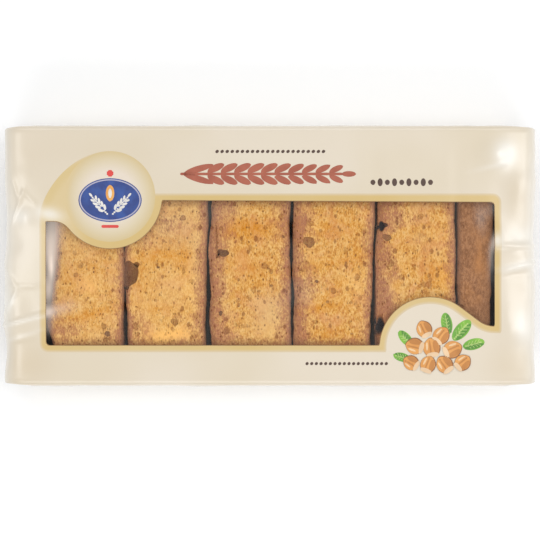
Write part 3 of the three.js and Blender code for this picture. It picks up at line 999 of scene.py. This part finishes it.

# The rusks, from left to right. Left and right are the places of a rusk's edges at the stations.
# Lean is how far the left edge slopes down, and how widely. LeftTan and rightTan are the widths of the
# browned edges, and tone is how pale the whole is. Hollows are (x, y, half sizes, depth, darkness of the
# shade painted in them). Tan, toast and pale are patches of colour, as on the film, but the patch of tan
# on the last rusk is painted shade, and the patches of glow are painted highlights.
rusks = [{
    "left": (-105.6, -106, -106.2, -106.4, -107.8, -109.6, -106.8),
    "right": (-71.9, -71.8, -71.7, -71.8, -72, -72.2, -72.4),
    "lean": (0.8, 3), "leftTan": 4, "rightTan": 6, "tone": 0.25,
    "tan": [
        (-103, 9, 4.5, 6, 0.3), (-102.5, -36.5, 7, 5, 0.65), (-96, -35, 5, 4, 0.2),
        (-77, -39, 5, 5, 0.35),
    ],
    "hollows": [
        (-79.8, -38.7, 1.5, 1.3, 1.1, 0.8), (-89.4, -20.9, 0.6, 0.6, 0.6, 0.7),
        (-105.6, -21.4, 1.2, 1.1, 0.7, 0.5), (-99, -35.5, 1, 0.9, 0.6, 0.3),
    ],
    "glow": [(-90, -15, 5, 4.5, 0.55), (-88, 4, 8, 4, 0.2, 20)],
    "toast": [(-99, -12, 7, 7, 0.35), (-90, -29.5, 17, 2.4, 0.85, 16), (-91, -6, 10, 6, 0.25)],
    "pale": [(-100, 14, 9, 9, 0.7), (-85, -40, 12, 4, 0.4), (-75, -8, 3, 14, 0.4)],
}, {
    "left": (-71.2, -71.2, -71.2, -71.2, -70.6, -70.1, -69.5),
    "right": (-30.2, -30.2, -31, -30.9, -31.2, -31.9, -31.5),
    "lean": (0.5, 2), "leftTan": 4, "rightTan": 8.4, "tone": 0.28,
    "tan": [(-65, -35, 6, 9, 0.5), (-51, 15, 12, 5, 0.4), (-62, 6, 6, 5, 0.3), (-44, -31, 4, 3, 0.3)],
    "hollows": [
        (-68.9, -9.2, 4.6, 5.9, 5.5, 0.75), (-66, -4.9, 1.8, 1.8, 3, 0.6),
        (-70.4, -15.2, 1.2, 2.6, 4, 0.6), (-46.5, -32.8, 1.9, 1.8, 1.2, 0.5),
        (-54.7, -5.7, 0.8, 0.7, 1, 0.9), (-42.4, 18.8, 1.7, 1.4, 0.8, 0.5),
        (-36.8, -38.7, 2.2, 2, 0.6, 0.3), (-66.1, -35, 1.8, 1.6, 0.8, 0.35),
        (-65, -38.9, 1.2, 1.1, 0.7, 0.4), (-52, 17, 2.2, 2, 0.5, 0.2),
        (-36.2, -29.5, 1.8, 1.6, 0.6, 0.35),
    ],
    "glow": [(-48.5, -39, 11, 3, 1, 3), (-53, -42, 7, 2.5, 0.5), (-40, -12, 5, 16, 0.25, 8)],
    "toast": [
        (-54, 0, 12, 4.5, 0.75, 8), (-42.5, 0, 5, 3.5, 0.5), (-58, -25.5, 12, 2.4, 0.55, -6),
        (-61, -14, 6, 8, 0.3),
    ],
    "pale": [(-60, 17, 8, 9, 0.6), (-35.5, 0, 3, 28, 0.7), (-50, -20, 9, 6, 0.3)],
}, {
    "left": (-28, -28.6, -30, -29, -28.5, -29.3, -28),
    "right": (11, 10.3, 10.3, 10.7, 11, 10.8, 11.2),
    "lean": (1.4, 4.2), "leftTan": 16, "rightTan": 10, "tone": 0,
    "tan": [(8, 2, 3, 18, 0.15)],
    "hollows": [
        (-22.6, 1.4, 3, 1.8, 2.6, 0.8), (-24.8, 0.2, 1.2, 1.2, 1.6, 0.6), (-25.7, 6.5, 0.5, 9.5, 1, 0.6),
        (-2, -5.1, 1.7, 1.9, 0.7, 0.4), (1.2, -14.9, 0.9, 0.8, 1, 0.7), (-7.4, -17, 1.5, 1.4, 0.5, 0.3),
        (-23.7, -28.5, 0.9, 1.3, 1.6, 0.85), (-22.6, -18.7, 0.8, 0.7, 0.9, 0.7),
        (-21, -37.3, 2, 1.8, 0.8, 0.5), (-14.8, -22, 0.8, 1.1, 0.7, 0.4), (7.2, 9.4, 0.8, 0.8, 1, 0.8),
        (-12.5, -35, 1.1, 1, 0.5, 0.3),
    ],
    "glow": [(-13, -3, 4, 3, 0.25)],
    "toast": [(-11, 13, 13, 4.6, 1.1, 2), (4, 14, 7, 6, 0.4), (-6, -8, 9, 9, 0.5), (-14, 1, 6, 10, 0.35)],
    "pale": [(-19, 23, 7, 4, 0.7), (2, -31, 8, 11, 0.9), (-22, -12, 4, 16, 0.5), (-14, -36, 8, 6, 0.3)],
}, {
    "left": (12.6, 12.4, 12.4, 12.1, 13.2, 12.4, 12.6),
    "right": (52.7, 52.3, 51.6, 51.5, 51.2, 50.3, 50.4),
    "lean": (1, 3.4), "leftTan": 12, "rightTan": 6.6, "tone": 0,
    "tan": [(20, 18, 4, 5, 0.5), (15, 13, 3, 4, 0.3), (16, -11, 4, 4, 0.45), (20, -38, 8, 5, 0.15)],
    "hollows": [
        (20, 6.8, 2.9, 2.6, 2, 0.65), (20.5, 16, 1.8, 1.4, 0.8, 0.35), (17.6, -5.2, 2.8, 3.2, 0.5, 0.2),
        (23.8, -12.7, 0.9, 0.9, 1.1, 0.8), (38.4, -4.6, 0.7, 1.9, 1, 0.6),
        (37.4, -7.4, 0.6, 1.1, 0.7, 0.5), (43.9, -10.6, 1.6, 1.7, 0.7, 0.45),
        (29.2, -22.9, 0.9, 0.8, 0.9, 0.6), (47.1, 12.2, 1.4, 1.5, 0.6, 0.35),
        (41.2, -38.7, 0.8, 0.7, 0.8, 0.6), (19.5, -38.7, 0.8, 0.8, 0.8, 0.6),
        (41, -23, 0.8, 0.7, 0.8, 0.5),
    ],
    "glow": [(43, -15, 6, 6, 0.3), (22, 14, 5, 5, 0.2)],
    "toast": [
        (29.8, -4, 18, 2.6, 0.55, 14), (26, -26, 13, 2.4, 0.9, 12), (34, 13, 11, 8, 0.45),
        (29, -38, 12, 4, 0.5), (46, -2, 4, 8, 0.4), (15, 12, 4, 9, 0.6), (33, -16, 9, 2.2, 0.4, 45),
    ],
    "pale": [(19, -3, 5, 7, 0.7), (17, -24, 3.5, 6, 0.9), (44, -14, 5, 6, 0.5)],
}, {
    "left": (54.4, 54.2, 53.2, 53.1, 53.1, 53, 53.4),
    "right": (92, 92.2, 92.6, 92.3, 92.6, 92.4, 92.2),
    "lean": (1.6, 5), "leftTan": 15.5, "rightTan": 7.4, "tone": 0,
    "tan": [(58, -28, 6, 7, 0.7), (70, 18, 10, 4, 0.25), (75, 8, 4, 4, 0.2)],
    "hollows": [
        (55, 14.4, 2.6, 3, 3.4, 1), (57.6, 15.2, 1.4, 1.2, 1.8, 0.9), (58.5, 9, 2.2, 1.7, 1.6, 0.7),
        (55.8, 6.9, 1.3, 1.2, 1, 0.5), (75.3, 19.3, 1.5, 1.6, 0.8, 0.4), (62.5, 2.2, 1.3, 1.3, 0.9, 0.5),
        (60.7, -3.8, 1.9, 1.8, 0.9, 0.5), (72, -5.7, 1, 1.6, 0.8, 0.4), (75.9, 10.1, 2.4, 1.6, 0.5, 0.2),
        (65.6, -10.6, 1.6, 1.5, 0.7, 0.35), (76.4, -14.4, 1.8, 1.7, 0.6, 0.35),
        (79.4, -14.4, 1.6, 1.8, 0.6, 0.4), (53.6, -34, 3.9, 6.6, 3.6, 1),
        (63.5, 16.5, 0.8, 1.4, 0.9, 0.6),
    ],
    "glow": [(86, -10, 3.5, 5, 0.5), (84, 8, 5, 6, 0.2)],
    "toast": [
        (72, 8, 11, 8, 0.3), (82.5, -10, 7, 6, 0.6), (66, -7, 6, 3, 0.4), (81, 15, 6, 5, 0.3),
        (89, -4, 3, 12, 0.5),
    ],
    "pale": [(60, -20, 5, 12, 0.4), (76, 9, 5, 3, 0.6), (66, 20, 8, 4, 0.4)],
}, {
    "left": (94, 93.9, 93.8, 93.6, 93.9, 94, 94),
    "right": (111.8, 111.4, 110.8, 110.4, 110.2, 109.8, 109.6),
    "lean": (0.6, 2), "leftTan": 1.6, "rightTan": 4.6, "tone": 0,
    # painted shade at the lower right of this rusk
    "tan": [(108, -27, 3, 9, 0.8)],
    "hollows": [(103.5, 2.5, 0.7, 0.7, 0.6, 0.4), (98.6, -8, 0.6, 0.9, 0.5, 0.3)],
    "glow": [],
    "toast": [(104.5, -4, 3, 6, 0.7), (99, -16, 2, 6, 0.3), (103, 12, 4, 3, 0.25)],
    "pale": [],
}]


def blockSurface(steps):  # lattice points and faces of a box's surface, with one face underneath
    index = {}
    faces = []
    for axis in range(3):
        u, v = (axis + 1) % 3, (axis + 2) % 3
        for level in ((steps[2],) if axis == 2 else (0, steps[axis])):
            for i in range(steps[u]):
                for j in range(steps[v]):
                    ring = []
                    for di, dj in ((0, 0), (1, 0), (1, 1), (0, 1)):
                        at = [0, 0, 0]
                        at[axis] = level
                        at[u] = i + di
                        at[v] = j + dj
                        ring.append(index.setdefault(tuple(at), len(index)))
                    faces.append(ring if level else ring[::-1])
    nx, ny = steps[:2]
    rim = [(0, j, 0) for j in range(ny)] + [(i, ny, 0) for i in range(nx)]
    rim += [(nx, ny - j, 0) for j in range(ny)] + [(nx - i, 0, 0) for i in range(nx)]
    faces.append([index[at] for at in rim])
    return np.array(list(index), float), faces


def ruskBlock(size, cells, radius):  # a box with rounded edges about the origin, and its normals
    steps = [max(4, round(side / cell)) for side, cell in zip(size, cells)]
    lattice, faces = blockSurface(steps)
    half = np.array(size) / 2
    points = lattice / np.array(steps) * 2 * half - half
    core = np.clip(points, -(half - radius), half - radius)
    normal = points - core
    normal /= np.linalg.norm(normal, axis=1, keepdims=True)
    return core + radius * normal, normal, faces


ruskMesh = {
    "cells": (0.42, 0.42, 1.2), "edgeCells": (0.42, 0.42, 2.4), "belly": 0.25, "sink": 0.2,
    "stations": np.linspace(27, -45, 7),  # where along a rusk its two edges are given
    "seed": 40, "pores": 46, "edgePores": 8, "poreSize": (0.6, 0.7), "poreShade": (0.15, 0.5),
    "poreForm": (1, 1.25, 0.8), "poreDepth": 0.1,
    "lumps": ((0.1, 2, 1), (0.07, 3, -2), (0.05, 5, 1)),  # of a hollow's rim: height, number and phase
}
ruskWaves = {  # unevenness of the shape and then of the browning, painted shade and painted highlight: height, width of a hill and seed
    "side": (0.3, 6, 60), "sideFine": (0.26, 1.9, 70), "foot": (0.6, 6, 95), "slope": (0.5, 9, 45),
    "top": (0.2, 9, 80), "topFine": (0.09, 2.2, 90), "crumb": (0.05, 0.95, 99),
    "edge": (0.45, 8, 100), "edgeFine": (0.3, 2.5, 110), "tan": (0.3, 4, 160), "glow": (0.4, 4, 150),
    "blotch": (1, 7, 120), "blotchFine": (0.5, 2.6, 125), "toast": (0.35, 3, 130), "pale": (1, 6, 140),
}
# Browned edges and painted shade: left and right are browned crust, edge is partly browned crust and
# partly painted shade beside the gaps, end is the painted shadow of the print along the window's lower
# edge, and rim, the shade ones and sides are painted shade.
browningAndShade = {  # strength of each, and between which distances from its edge it fades, in millimetres
    "left": 0.9, "right": 0.88,
    "edge": (0.75, 0.5, 1.8), "end": (0.45, 0.5, 6.5), "rim": (0.8, 0.05, 1.1),
    "shadeTop": (0.42, 0, 3.4), "shadeBottom": (0.36, 0, 3.0),  # in the shadow of the print
    "sides": 0.3, "blotch": 0.3,
}


def scoop(points, hollow, centre, size, shade):  # pushes what lies in a lumpy ellipsoid out to its skin
    near = np.all(np.abs(points - centre) < 1.5 * size, axis=1)
    offset = (points[near] - centre) / size
    away = np.linalg.norm(offset, axis=1)
    turn = np.arctan2(offset[:, 1], offset[:, 0])
    phase = 7 * centre[0] + 3 * centre[1]
    edge = 1
    for height, count, shift in ruskMesh["lumps"]:
        edge = edge + height * np.sin(count * turn + shift * phase)
    # painted shade in the hollow, by its darkness
    hollow[near] = np.maximum(hollow[near], shade * fade(away / edge, 0.55, 1.08))
    push = np.maximum(1, edge / np.maximum(away, 1e-3))[:, None]
    points[near] = centre + (points[near] - centre) * push


def uneven(name, u, v, number):
    return waved(ruskWaves[name], u, v, number)


def shapeRusk(number, rusk, onEdge):  # points, faces, how much each faces up, and places of the two edges
    width, depth = (row["thickness"], row["edgeHeight"]) if onEdge else (row["width"], row["thickness"])
    cells = ruskMesh["edgeCells" if onEdge else "cells"]
    points, normal, faces = ruskBlock((width, row["length"], depth), cells, row["radius"])
    x, y, z = points.T.copy()
    left, right = [np.interp(-y, -ruskMesh["stations"], rusk[key]) for key in ("left", "right")]
    facingUp = smooth(normal[:, 2], 0.3, 0.9)
    sideways, lengthways, _ = (np.sign(normal) * smooth(np.abs(normal), 0.2, 0.9)).T
    level = z + 20 * np.sign(x)
    swell = uneven("side", y, level, number) + uneven("sideFine", y, level, number)
    swell = swell + ruskMesh["belly"] * smooth(depth / 2 - z, 0.4, 5.0)  # a little wider lower down
    across = left + (x / width + 0.5) * (right - left) + sideways * swell
    fall, reach = rusk["lean"]
    sloped = fall * fade(across - left, 0, reach * (1 + uneven("slope", y, 0 * y, number))) ** 1.5
    lumps = sum(uneven(name, across, y, number) for name in ("top", "topFine", "crumb"))
    points[:, 0] = across
    points[:, 1] += lengthways * uneven("foot", x, z, number)
    points[:, 2] += row["top"] - depth / 2 + facingUp * (lumps - ruskMesh["sink"] - sloped)
    return points, faces, facingUp, left, right


def scoopHollows(number, rusk, onEdge, points):  # its own hollows, and small pores at random
    random = np.random.default_rng(ruskMesh["seed"] + number)
    hollow = np.zeros(len(points))
    skin = row["top"] - ruskMesh["poreDepth"]
    for hx, hy, halfX, halfY, deep, shade in rusk["hollows"]:
        place = np.array([hx, hy, skin + 0.1 * min(halfX, deep)])
        scoop(points, hollow, place, np.array([halfX, halfY, deep]), shade)
    for _ in range(ruskMesh["edgePores" if onEdge else "pores"]):
        least, more = ruskMesh["poreSize"]
        size = (least + more * random.random() ** 3) * np.array(ruskMesh["poreForm"])
        px = random.uniform(points[:, 0].min() + 1, points[:, 0].max() - 1)
        py = random.uniform(-0.49, 0.49) * row["length"]
        scoop(points, hollow, np.array([px, py, skin]), size, random.uniform(*ruskMesh["poreShade"]))
    return hollow


def darkened(name, distance):
    strength, start, end = browningAndShade[name]
    return strength * fade(distance, start, end)


def brownAndShadeRusk(number, rusk, x, y, facingUp, left, right):  # masks for the colours of the crumb
    ragged = 1 + uneven("edge", y, x, number) + uneven("edgeFine", y, x, number)
    fromLeft = (x - left) / ragged
    fromRight = (right - x) / ragged
    fromEdge = np.minimum(fromLeft, fromRight)
    # browned edges, with painted shade beside the gaps and the painted shadow of the print near the
    # bottom
    crustAndShade = np.maximum.reduce([
        browningAndShade["left"] * fade(fromLeft, 0.1 * rusk["leftTan"], rusk["leftTan"]) ** 1.2,
        browningAndShade["right"] * fade(fromRight, 0, rusk["rightTan"]) ** 1.2,
        darkened("edge", fromEdge),
        darkened("end", y - ruskMesh["stations"][-1]),
    ])
    # painted shade: at the edges beside the gaps, in the shadow of the print, and on the sides
    rim = np.maximum.reduce([
        darkened("rim", fromEdge),
        darkened("shadeTop", window["topRight"] - y),
        darkened("shadeBottom", y - window["bottom"]),
    ])
    blotches = smooth(uneven("blotch", x, y, number) + uneven("blotchFine", x, y, number), 0.2, 1.2)
    paler = smooth(uneven("pale", x, y, number), 0.1, 0.9)
    tan, toast, pale, glow = [patchSum(x, y, rusk[name]) for name in ("tan", "toast", "pale", "glow")]
    return {
        "crustAndShade": crustAndShade + tan * (0.9 + uneven("tan", x, y, number)),
        "rim": np.where(facingUp < 0.4, browningAndShade["sides"], rim),
        "toast": toast * (0.8 + uneven("toast", x, y, number)) + browningAndShade["blotch"] * blotches,
        "pale": pale + browningAndShade["blotch"] * paler + rusk["tone"],
        # painted highlight
        "glow": glow * (0.9 + uneven("glow", x, y, number)),
    }


def addRusk(number, rusk):  # the last one stands on its edge
    onEdge = number == len(rusks)
    points, faces, *form = shapeRusk(number, rusk, onEdge)
    hollow = scoopHollows(number, rusk, onEdge, points)
    piece = addPiece(f"rusk_{number}", points, faces, [crustSkin if onEdge else crumb])
    masks = brownAndShadeRusk(number, rusk, points[:, 0], points[:, 1], *form) | {"hollow": hollow}
    for name, values in masks.items():
        paint(piece, name, values)


print("rusks: five flat ones and one on its edge")
crumb = makeCrumb()
crustSkin = makeCrust()
for number, rusk in enumerate(rusks, start=1):
    addRusk(number, rusk)

tray = {
    "left": -112.0, "right": 113.2, "halfWidth": 59.6, "rim": 33.0, "base": 1.3, "wall": 0.6,
    "corner": 4.0, "footInset": 1.6, "footRise": 1.4, "rollHeight": 0.3, "fillet": 1.2,
    "bed": row["top"] - row["thickness"] - 0.2,
    "well": 93.0, "wellFloor": 1.9, "stepHalf": 0.05,  # the bed drops here, for the rusk on its edge
    "colours": ((0.052, 0.038, 0.03), (0.078, 0.058, 0.046)),
}


def makeTrayPlastic():
    material, nodes = newMaterial("trayPlastic")
    grain = nodes.noise(900.0, 2.0, nodes.place())
    nodes.dress(Base_Color=nodes.mix(grain, *tray["colours"]), Normal=nodes.bump(grain, 0.2, 0.0002))
    nodes.dress(Roughness=nodes.remap(grain, 0.2, 0.8, 0.35, 0.5))
    return material


def trayOutline(inset):
    left, right = tray["left"] + inset, tray["right"] - inset
    halfWidth = tray["halfWidth"] - inset
    radius = tray["corner"] - inset
    step = [(tray["well"] + side * tray["stepHalf"], -halfWidth) for side in (-1, 1)]
    return (
        corner(left, -halfWidth, radius, 180) + step + corner(right, -halfWidth, radius, 270)
        + corner(right, halfWidth, radius, 0) + [(x, -y) for x, y in step[::-1]]
        + corner(left, halfWidth, radius, 90)
    )


def addTray(material):
    outer = trayOutline(0)
    inner = trayOutline(tray["wall"])
    foot = trayOutline(tray["footInset"])

    def floorAt(x):
        return tray["wellFloor"] if x > tray["well"] else tray["bed"]

    rings = [
        [(x, y, tray["base"]) for x, y in foot],
        [(x, y, tray["base"] + tray["footRise"]) for x, y in outer],
        [(x, y, tray["rim"]) for x, y in outer],
        [(x, y, tray["rim"] + tray["rollHeight"]) for x, y in inner],
        [(x, y, floorAt(x) + tray["fillet"]) for x, y in inner],
        [(x, y, floorAt(x)) for x, y in foot],
    ]
    count = len(outer)
    points = [point for ring in rings for point in ring]
    faces = gridFaces(len(rings), count, closed=True)
    faces.append(tuple(range(count))[::-1])
    top = (len(rings) - 1) * count
    inWell = [at for at in range(count) if outer[at][0] > tray["well"]]
    first, last = inWell[0], inWell[-1]
    onBed = [*range(last + 1, count), *range(first)]
    faces.append([top + at for at in inWell])
    faces.append([top + at for at in onBed])
    faces.append([top + at for at in (first - 1, first, last, last + 1)])
    return addPiece("tray", points, faces, [material], soft=False)


print("tray")
addTray(makeTrayPlastic())

printing = {"lift": 0.05, "layerLift": 0.03, "cells": (0.3, 0.8), "cellsAcross": 4}
wheat = {"taper": 0.35, "taperFrom": 0.5, "tipRise": 0.4, "tipSize": 0.8, "sharp": 1.1}


def printShape(outline, layer):  # points and faces of a thin shape of ink that follows the film
    corners = np.array(outline)
    least, most = printing["cells"]
    cell = min(most, max(least, min(np.ptp(corners, axis=0)) / printing["cellsAcross"]))
    start = corners.min(axis=0) - cell
    end = corners.max(axis=0) + cell
    xs = np.arange(start[0], end[0] + cell, cell)
    ys = np.arange(start[1], end[1] + cell, cell)
    patch = gridMesh([(x, y, 0) for y in ys for x in xs], len(ys), len(xs))
    cutAlong(patch, outline, lambda x, y, z: True)
    centres = faceMiddles(patch)
    outside = distanceTo(outline, centres[:, 0], centres[:, 1]) > 0
    doomed = [face for face, out in zip(patch.faces, outside) if out]
    bmesh.ops.delete(patch, geom=doomed, context="FACES")
    points, faces = takeMesh(patch)
    lift = printing["lift"] + printing["layerLift"] * layer
    points[:, 2] = filmHeight(points[:, 0], points[:, 1]) + lift
    return points, faces


def addPrint(name, shapes):  # shapes are (outline, ink, layer)
    used = list(dict.fromkeys(ink for _, ink, _ in shapes))
    allPoints, allFaces, slots = [], [], []
    count = 0
    for outline, ink, layer in shapes:
        points, faces = printShape(outline, layer)
        allPoints.append(points)
        allFaces += [[index + count for index in face] for face in faces]
        slots += [used.index(ink)] * len(faces)
        count += len(points)
    addPiece(name, np.concatenate(allPoints), allFaces, [inks[ink] for ink in used], slots)


def wheatEar(x, y, turn, ear):  # outlines of a stem, its pairs of grains and the grain at its tip
    length, width = ear["grain"]
    shapes = [bar((x, y), turned(x, y, ear["length"], 0, turn), ear["stem"])]
    for step in range(ear["pairs"]):
        along = ear["bare"] + step * ear["pitch"]
        size = 1 - wheat["taper"] * max(0.0, step / (ear["pairs"] - 1) - wheat["taperFrom"])
        for side in (-1, 1):
            middle = turned(x, y, along, side * ear["aside"] * size, turn)
            leaning = turn + side * ear["lean"]
            shapes.append(lens(*middle, length * size, width * size, leaning, wheat["sharp"]))
    tip = turned(x, y, ear["length"] + wheat["tipRise"] * length, 0, turn)
    size = wheat["tipSize"]
    shapes.append(lens(*tip, length * size, width * size, turn, wheat["sharp"]))
    return shapes


badge = {  # an oval with two ears of wheat and a grain; places are from its middle
    "place": (window["disc"][0] + 0.1, window["disc"][1] - 1.8), "size": (15.6, 10.8),
    "rings": (("navy", 0), ("lilac", 0.5), ("navy", 1.1)),
    "foot": (1.2, -7.0), "spread": 0.72,
    "ear": {
        "length": 11.5, "stem": 0.45, "bare": 3.6, "pitch": 2.1, "pairs": 4, "aside": 1.25,
        "lean": 0.5, "grain": (3.0, 1.35),
    },
    "grain": (("honey", 3, 8.0, 4.2), ("pale", 4, 4.6, 1.8)), "grainRise": 3.4,
    "stroke": (3.6, -13.0, 1.4), "gem": (13.2, 3.2),
}
title = {  # a long ear of wheat with two leaves lies where a title would be
    "start": (-43.0, 40.3), "leaf": (8.5, 2.5, 15.0, 3.2, 0.28),
    "ear": {
        "length": 79.0, "stem": 1.3, "bare": 17.0, "pitch": 6.6, "pairs": 10, "aside": 3.0,
        "lean": 0.42, "grain": (9.0, 3.5),
    },
}
# Rows of small grains, where fine print would be: start, pitch, count, lengths, width, turn and steps.
smallRows = [
    ((-25.4, 51.4), 2.5, 22, (1.9, 1.9), 1.5, 0.6, 8),
    ((51.5, 36.2), 3.55, 9, (2.6, 4.0), 2.5, math.pi / 2, 10),
    ((19.0, -53.3), 2.3, 18, (1.7, 1.7), 1.5, 0.6, 8),
]


def badgeShapes():
    cx, cy = badge["place"]
    wide, tall = badge["size"]
    footX, footY = badge["foot"]
    shapes = []
    for layer, (ink, inset) in enumerate(badge["rings"]):
        shapes.append((ellipse(cx, cy, wide - inset, tall - inset), ink, layer))
    for side in (-1, 1):
        turn = math.pi / 2 - side * badge["spread"]
        for outline in wheatEar(cx + side * footX, cy + footY, turn, badge["ear"]):
            shapes.append((outline, "pale", 3))
    for ink, layer, length, width in badge["grain"]:
        shapes.append((lens(cx, cy + badge["grainRise"], length, width, math.pi / 2, 1.0), ink, layer))
    reach, low, thick = badge["stroke"]
    shapes.append((bar((cx - reach, cy + low), (cx + reach, cy + low), thick), "red", 1))
    rise, size = badge["gem"]
    shapes.append((lens(cx, cy + rise, size, size, math.pi / 4, 1.0), "red", 1))
    return shapes


def titleShapes():
    x, y = title["start"]
    along, aside, length, width, turn = title["leaf"]
    outlines = wheatEar(x, y, 0.0, title["ear"])
    for side in (-1, 1):
        outlines.append(lens(x + along, y + side * aside, length, width, side * turn, 1.2))
    return [(outline, "terracotta", 0) for outline in outlines]


def smallShapes():
    shapes = []
    for (x, y), pitch, count, lengths, width, turn, steps in smallRows:
        for at in range(count):
            outline = lens(x + pitch * at, y, lengths[at % 2], width, turn, 1.0, steps)
            shapes.append((outline, "umber", 0))
    return shapes


# Hazelnuts and leaves of the picture: middle, length and turn. Later ones lie on earlier ones.
nutPicture = {
    "leaves": [
        (96.5, -36.0, 14.0, 0.85), (88.5, -32.5, 12.0, 1.75), (103.0, -43.5, 12.0, 0.25),
        (66.5, -40.5, 11.0, 2.3), (64.5, -50.5, 9.5, 2.9),
    ],
    "nuts": [
        (76.5, -35.5, 9.0, 2.0), (85.5, -39.0, 9.5, 0.9), (71.5, -44.5, 9.5, 2.9),
        (80.5, -45.5, 10.0, 1.7), (91.5, -46.5, 10.0, 0.4), (69.5, -53.5, 8.5, 2.6),
        (78.5, -54.5, 9.0, 1.2), (87.5, -54.5, 9.5, 2.2), (97.0, -53.5, 9.0, 0.7),
    ],
    "middle": (81, -46), "scale": 0.92, "tip": (0.12, 0.35), "slim": 0.94,
    "face": (0.01, 0.025, 0.93),  # the lit face of a shell: along, aside and size
}
# What is drawn on a shell and on a leaf, in shares of their length: along, aside, length, width,
# turn, how pointed, the ink and how many layers up.
shellParts = [
    (0.04, -0.23, 0.72, 0.3, 0.1, 0.7, "nutShade", 2),
    (0.05, 0.08, 0.78, 0.1, 0.0, 1.1, "nutShade", 2),
    (-0.37, 0, 0.66, 0.27, math.pi / 2, 0.8, "nutPale", 3),
    (0.12, 0.25, 0.44, 0.12, -0.1, 0.9, "nutShine", 3),
]
leafParts = [
    (0, 0, 1, 0.5, 0, 1.1, "leaf", 0),
    (0, -0.1, 0.84, 0.2, 0, 1.1, "leafDark", 1),
    (0, 0, 0.92, 0.045, 0, 1.5, "vein", 2),
]
veins = {"count": 4, "start": -0.28, "pitch": 0.15, "along": 0.12, "aside": 0.15, "width": 0.2}


def drawParts(parts, x, y, size, turn, layer):
    shapes = []
    for along, aside, length, width, across, sharp, ink, up in parts:
        middle = turned(x, y, along * size, aside * size, turn)
        outline = lens(*middle, length * size, width * size, turn + across, sharp)
        shapes.append((outline, ink, layer + up))
    return shapes


def nutOutline(x, y, size, turn, steps=40):  # round, with a small point at one end
    height, width = nutPicture["tip"]
    points = []
    for step in range(steps):
        angle = 2 * math.pi * step / steps - math.pi
        reach = size / 2 * (1 + height * math.exp(-(angle / width) ** 2))
        aside = nutPicture["slim"] * reach * math.sin(angle)
        points.append(turned(x, y, reach * math.cos(angle), aside, turn))
    return points


def hazelnut(x, y, size, turn, layer):  # a shell with a shaded side, a paler cap and a soft shine
    along, aside, share = nutPicture["face"]
    face = nutOutline(*turned(x, y, along * size, aside * size, turn), share * size, turn)
    shell = [(nutOutline(x, y, size, turn), "nutDark", layer), (face, "nut", layer + 1)]
    return shell + drawParts(shellParts, x, y, size, turn, layer)


def leaf(x, y, size, turn):
    shapes = drawParts(leafParts, x, y, size, turn, 0)
    for step in range(veins["count"]):
        along = (veins["pitch"] * step + veins["start"]) * size
        for side in (-1, 1):
            tip = turned(x, y, along + veins["along"] * size, side * veins["aside"] * size, turn)
            shapes.append((bar(turned(x, y, along, 0, turn), tip, veins["width"]), "vein", 2))
    return shapes


def nutShapes():  # the places above, drawn nearer to the picture's middle by its scale
    middle, scale = nutPicture["middle"], nutPicture["scale"]

    def placed(x, y, size, turn):
        x, y = (centre + scale * (value - centre) for value, centre in zip((x, y), middle))
        return x, y, scale * size, turn

    shapes = []
    for place in nutPicture["leaves"]:
        shapes += leaf(*placed(*place))
    for layer, place in enumerate(nutPicture["nuts"], start=2):
        shapes += hazelnut(*placed(*place), layer)
    return shapes


print("print: badge, ears of wheat, rows of grains, hazelnuts")
addPrint("badge_print", badgeShapes())
addPrint("title_print", titleShapes())
addPrint("small_print", smallShapes())
addPrint("nut_print", nutShapes())

studio = {
    "lens": 100.0, "sensor": 36.0, "frameWidth": 266.4, "aim": (0.7, -7.1),
    "world": (0.9, 0.92, 0.94), "worldStrength": 0.6,
    "floor": ((0.935, 0.935, 0.935), (0.915, 0.915, 0.915)), "floorGlow": 0.04,
    "floorReach": 2.0, "floorDrop": 0.0001,
    "lights": {  # place and size in metres, then power in watts
        "backLight": ((0.0, 1.0, 0.75), (1.4, 0.5), 4.0),
        "frontLight": ((0.0, -0.7, 0.6), (1.1, 0.4), 3.2),
        "rightLight": ((0.62, 0.1, 0.95), (0.45, 0.5), 2.7),
        "leftLight": ((-0.62, 0.0, 0.95), (0.45, 0.35), 1.7),
        "rightSideLight": ((1.1, 0.0, 0.55), (0.3, 0.8), 1.0),
        "leftSideLight": ((-1.1, 0.0, 0.55), (0.3, 0.8), 0.4),
    },
}


def addFloor():
    material, nodes = newMaterial("studioFloor")
    nodes.dress(Base_Color=nodes.mix(nodes.noise(3.0, 2.0, nodes.place()), *studio["floor"]))
    nodes.dress(Roughness=0.9, Emission_Color=(1, 1, 1, 1), Emission_Strength=studio["floorGlow"])
    reach = studio["floorReach"]
    mesh = bpy.data.meshes.new("floor")
    corners = [(-reach, -reach, 0), (reach, -reach, 0), (reach, reach, 0), (-reach, reach, 0)]
    mesh.from_pydata(corners, [], [(0, 1, 2, 3)])
    mesh.materials.append(material)
    floor = newObject("floor", mesh)
    floor.location.z = -studio["floorDrop"]


def addSoftbox(name, place, size, power):
    light = bpy.data.lights.new(name, "AREA")
    light.shape = "RECTANGLE"
    light.size = size[0]
    light.size_y = size[1]
    light.energy = power
    box = newObject(name, light)
    box.location = place
    box.rotation_euler = (-Vector(place)).to_track_quat("-Z", "Y").to_euler()


def addWorld():
    world = bpy.data.worlds.new("studioWorld")
    world.use_nodes = True
    background = world.node_tree.nodes["Background"]
    background.inputs["Color"].default_value = (*studio["world"], 1)
    background.inputs["Strength"].default_value = studio["worldStrength"]
    bpy.context.scene.world = world
    bpy.context.scene.view_settings.view_transform = "Standard"


def addCamera():
    distance = studio["frameWidth"] * studio["lens"] / studio["sensor"]
    data = bpy.data.cameras.new("camera")
    data.lens = studio["lens"]
    data.sensor_width = studio["sensor"]
    data.clip_start = 0.01
    camera = newObject("camera", data)
    camera.location = Vector((*studio["aim"], pack["height"] + distance)) * mm
    bpy.context.scene.camera = camera


print("studio: floor, lights and camera")
addFloor()
for name, (place, size, power) in studio["lights"].items():
    addSoftbox(name, place, size, power)
addWorld()
addCamera()
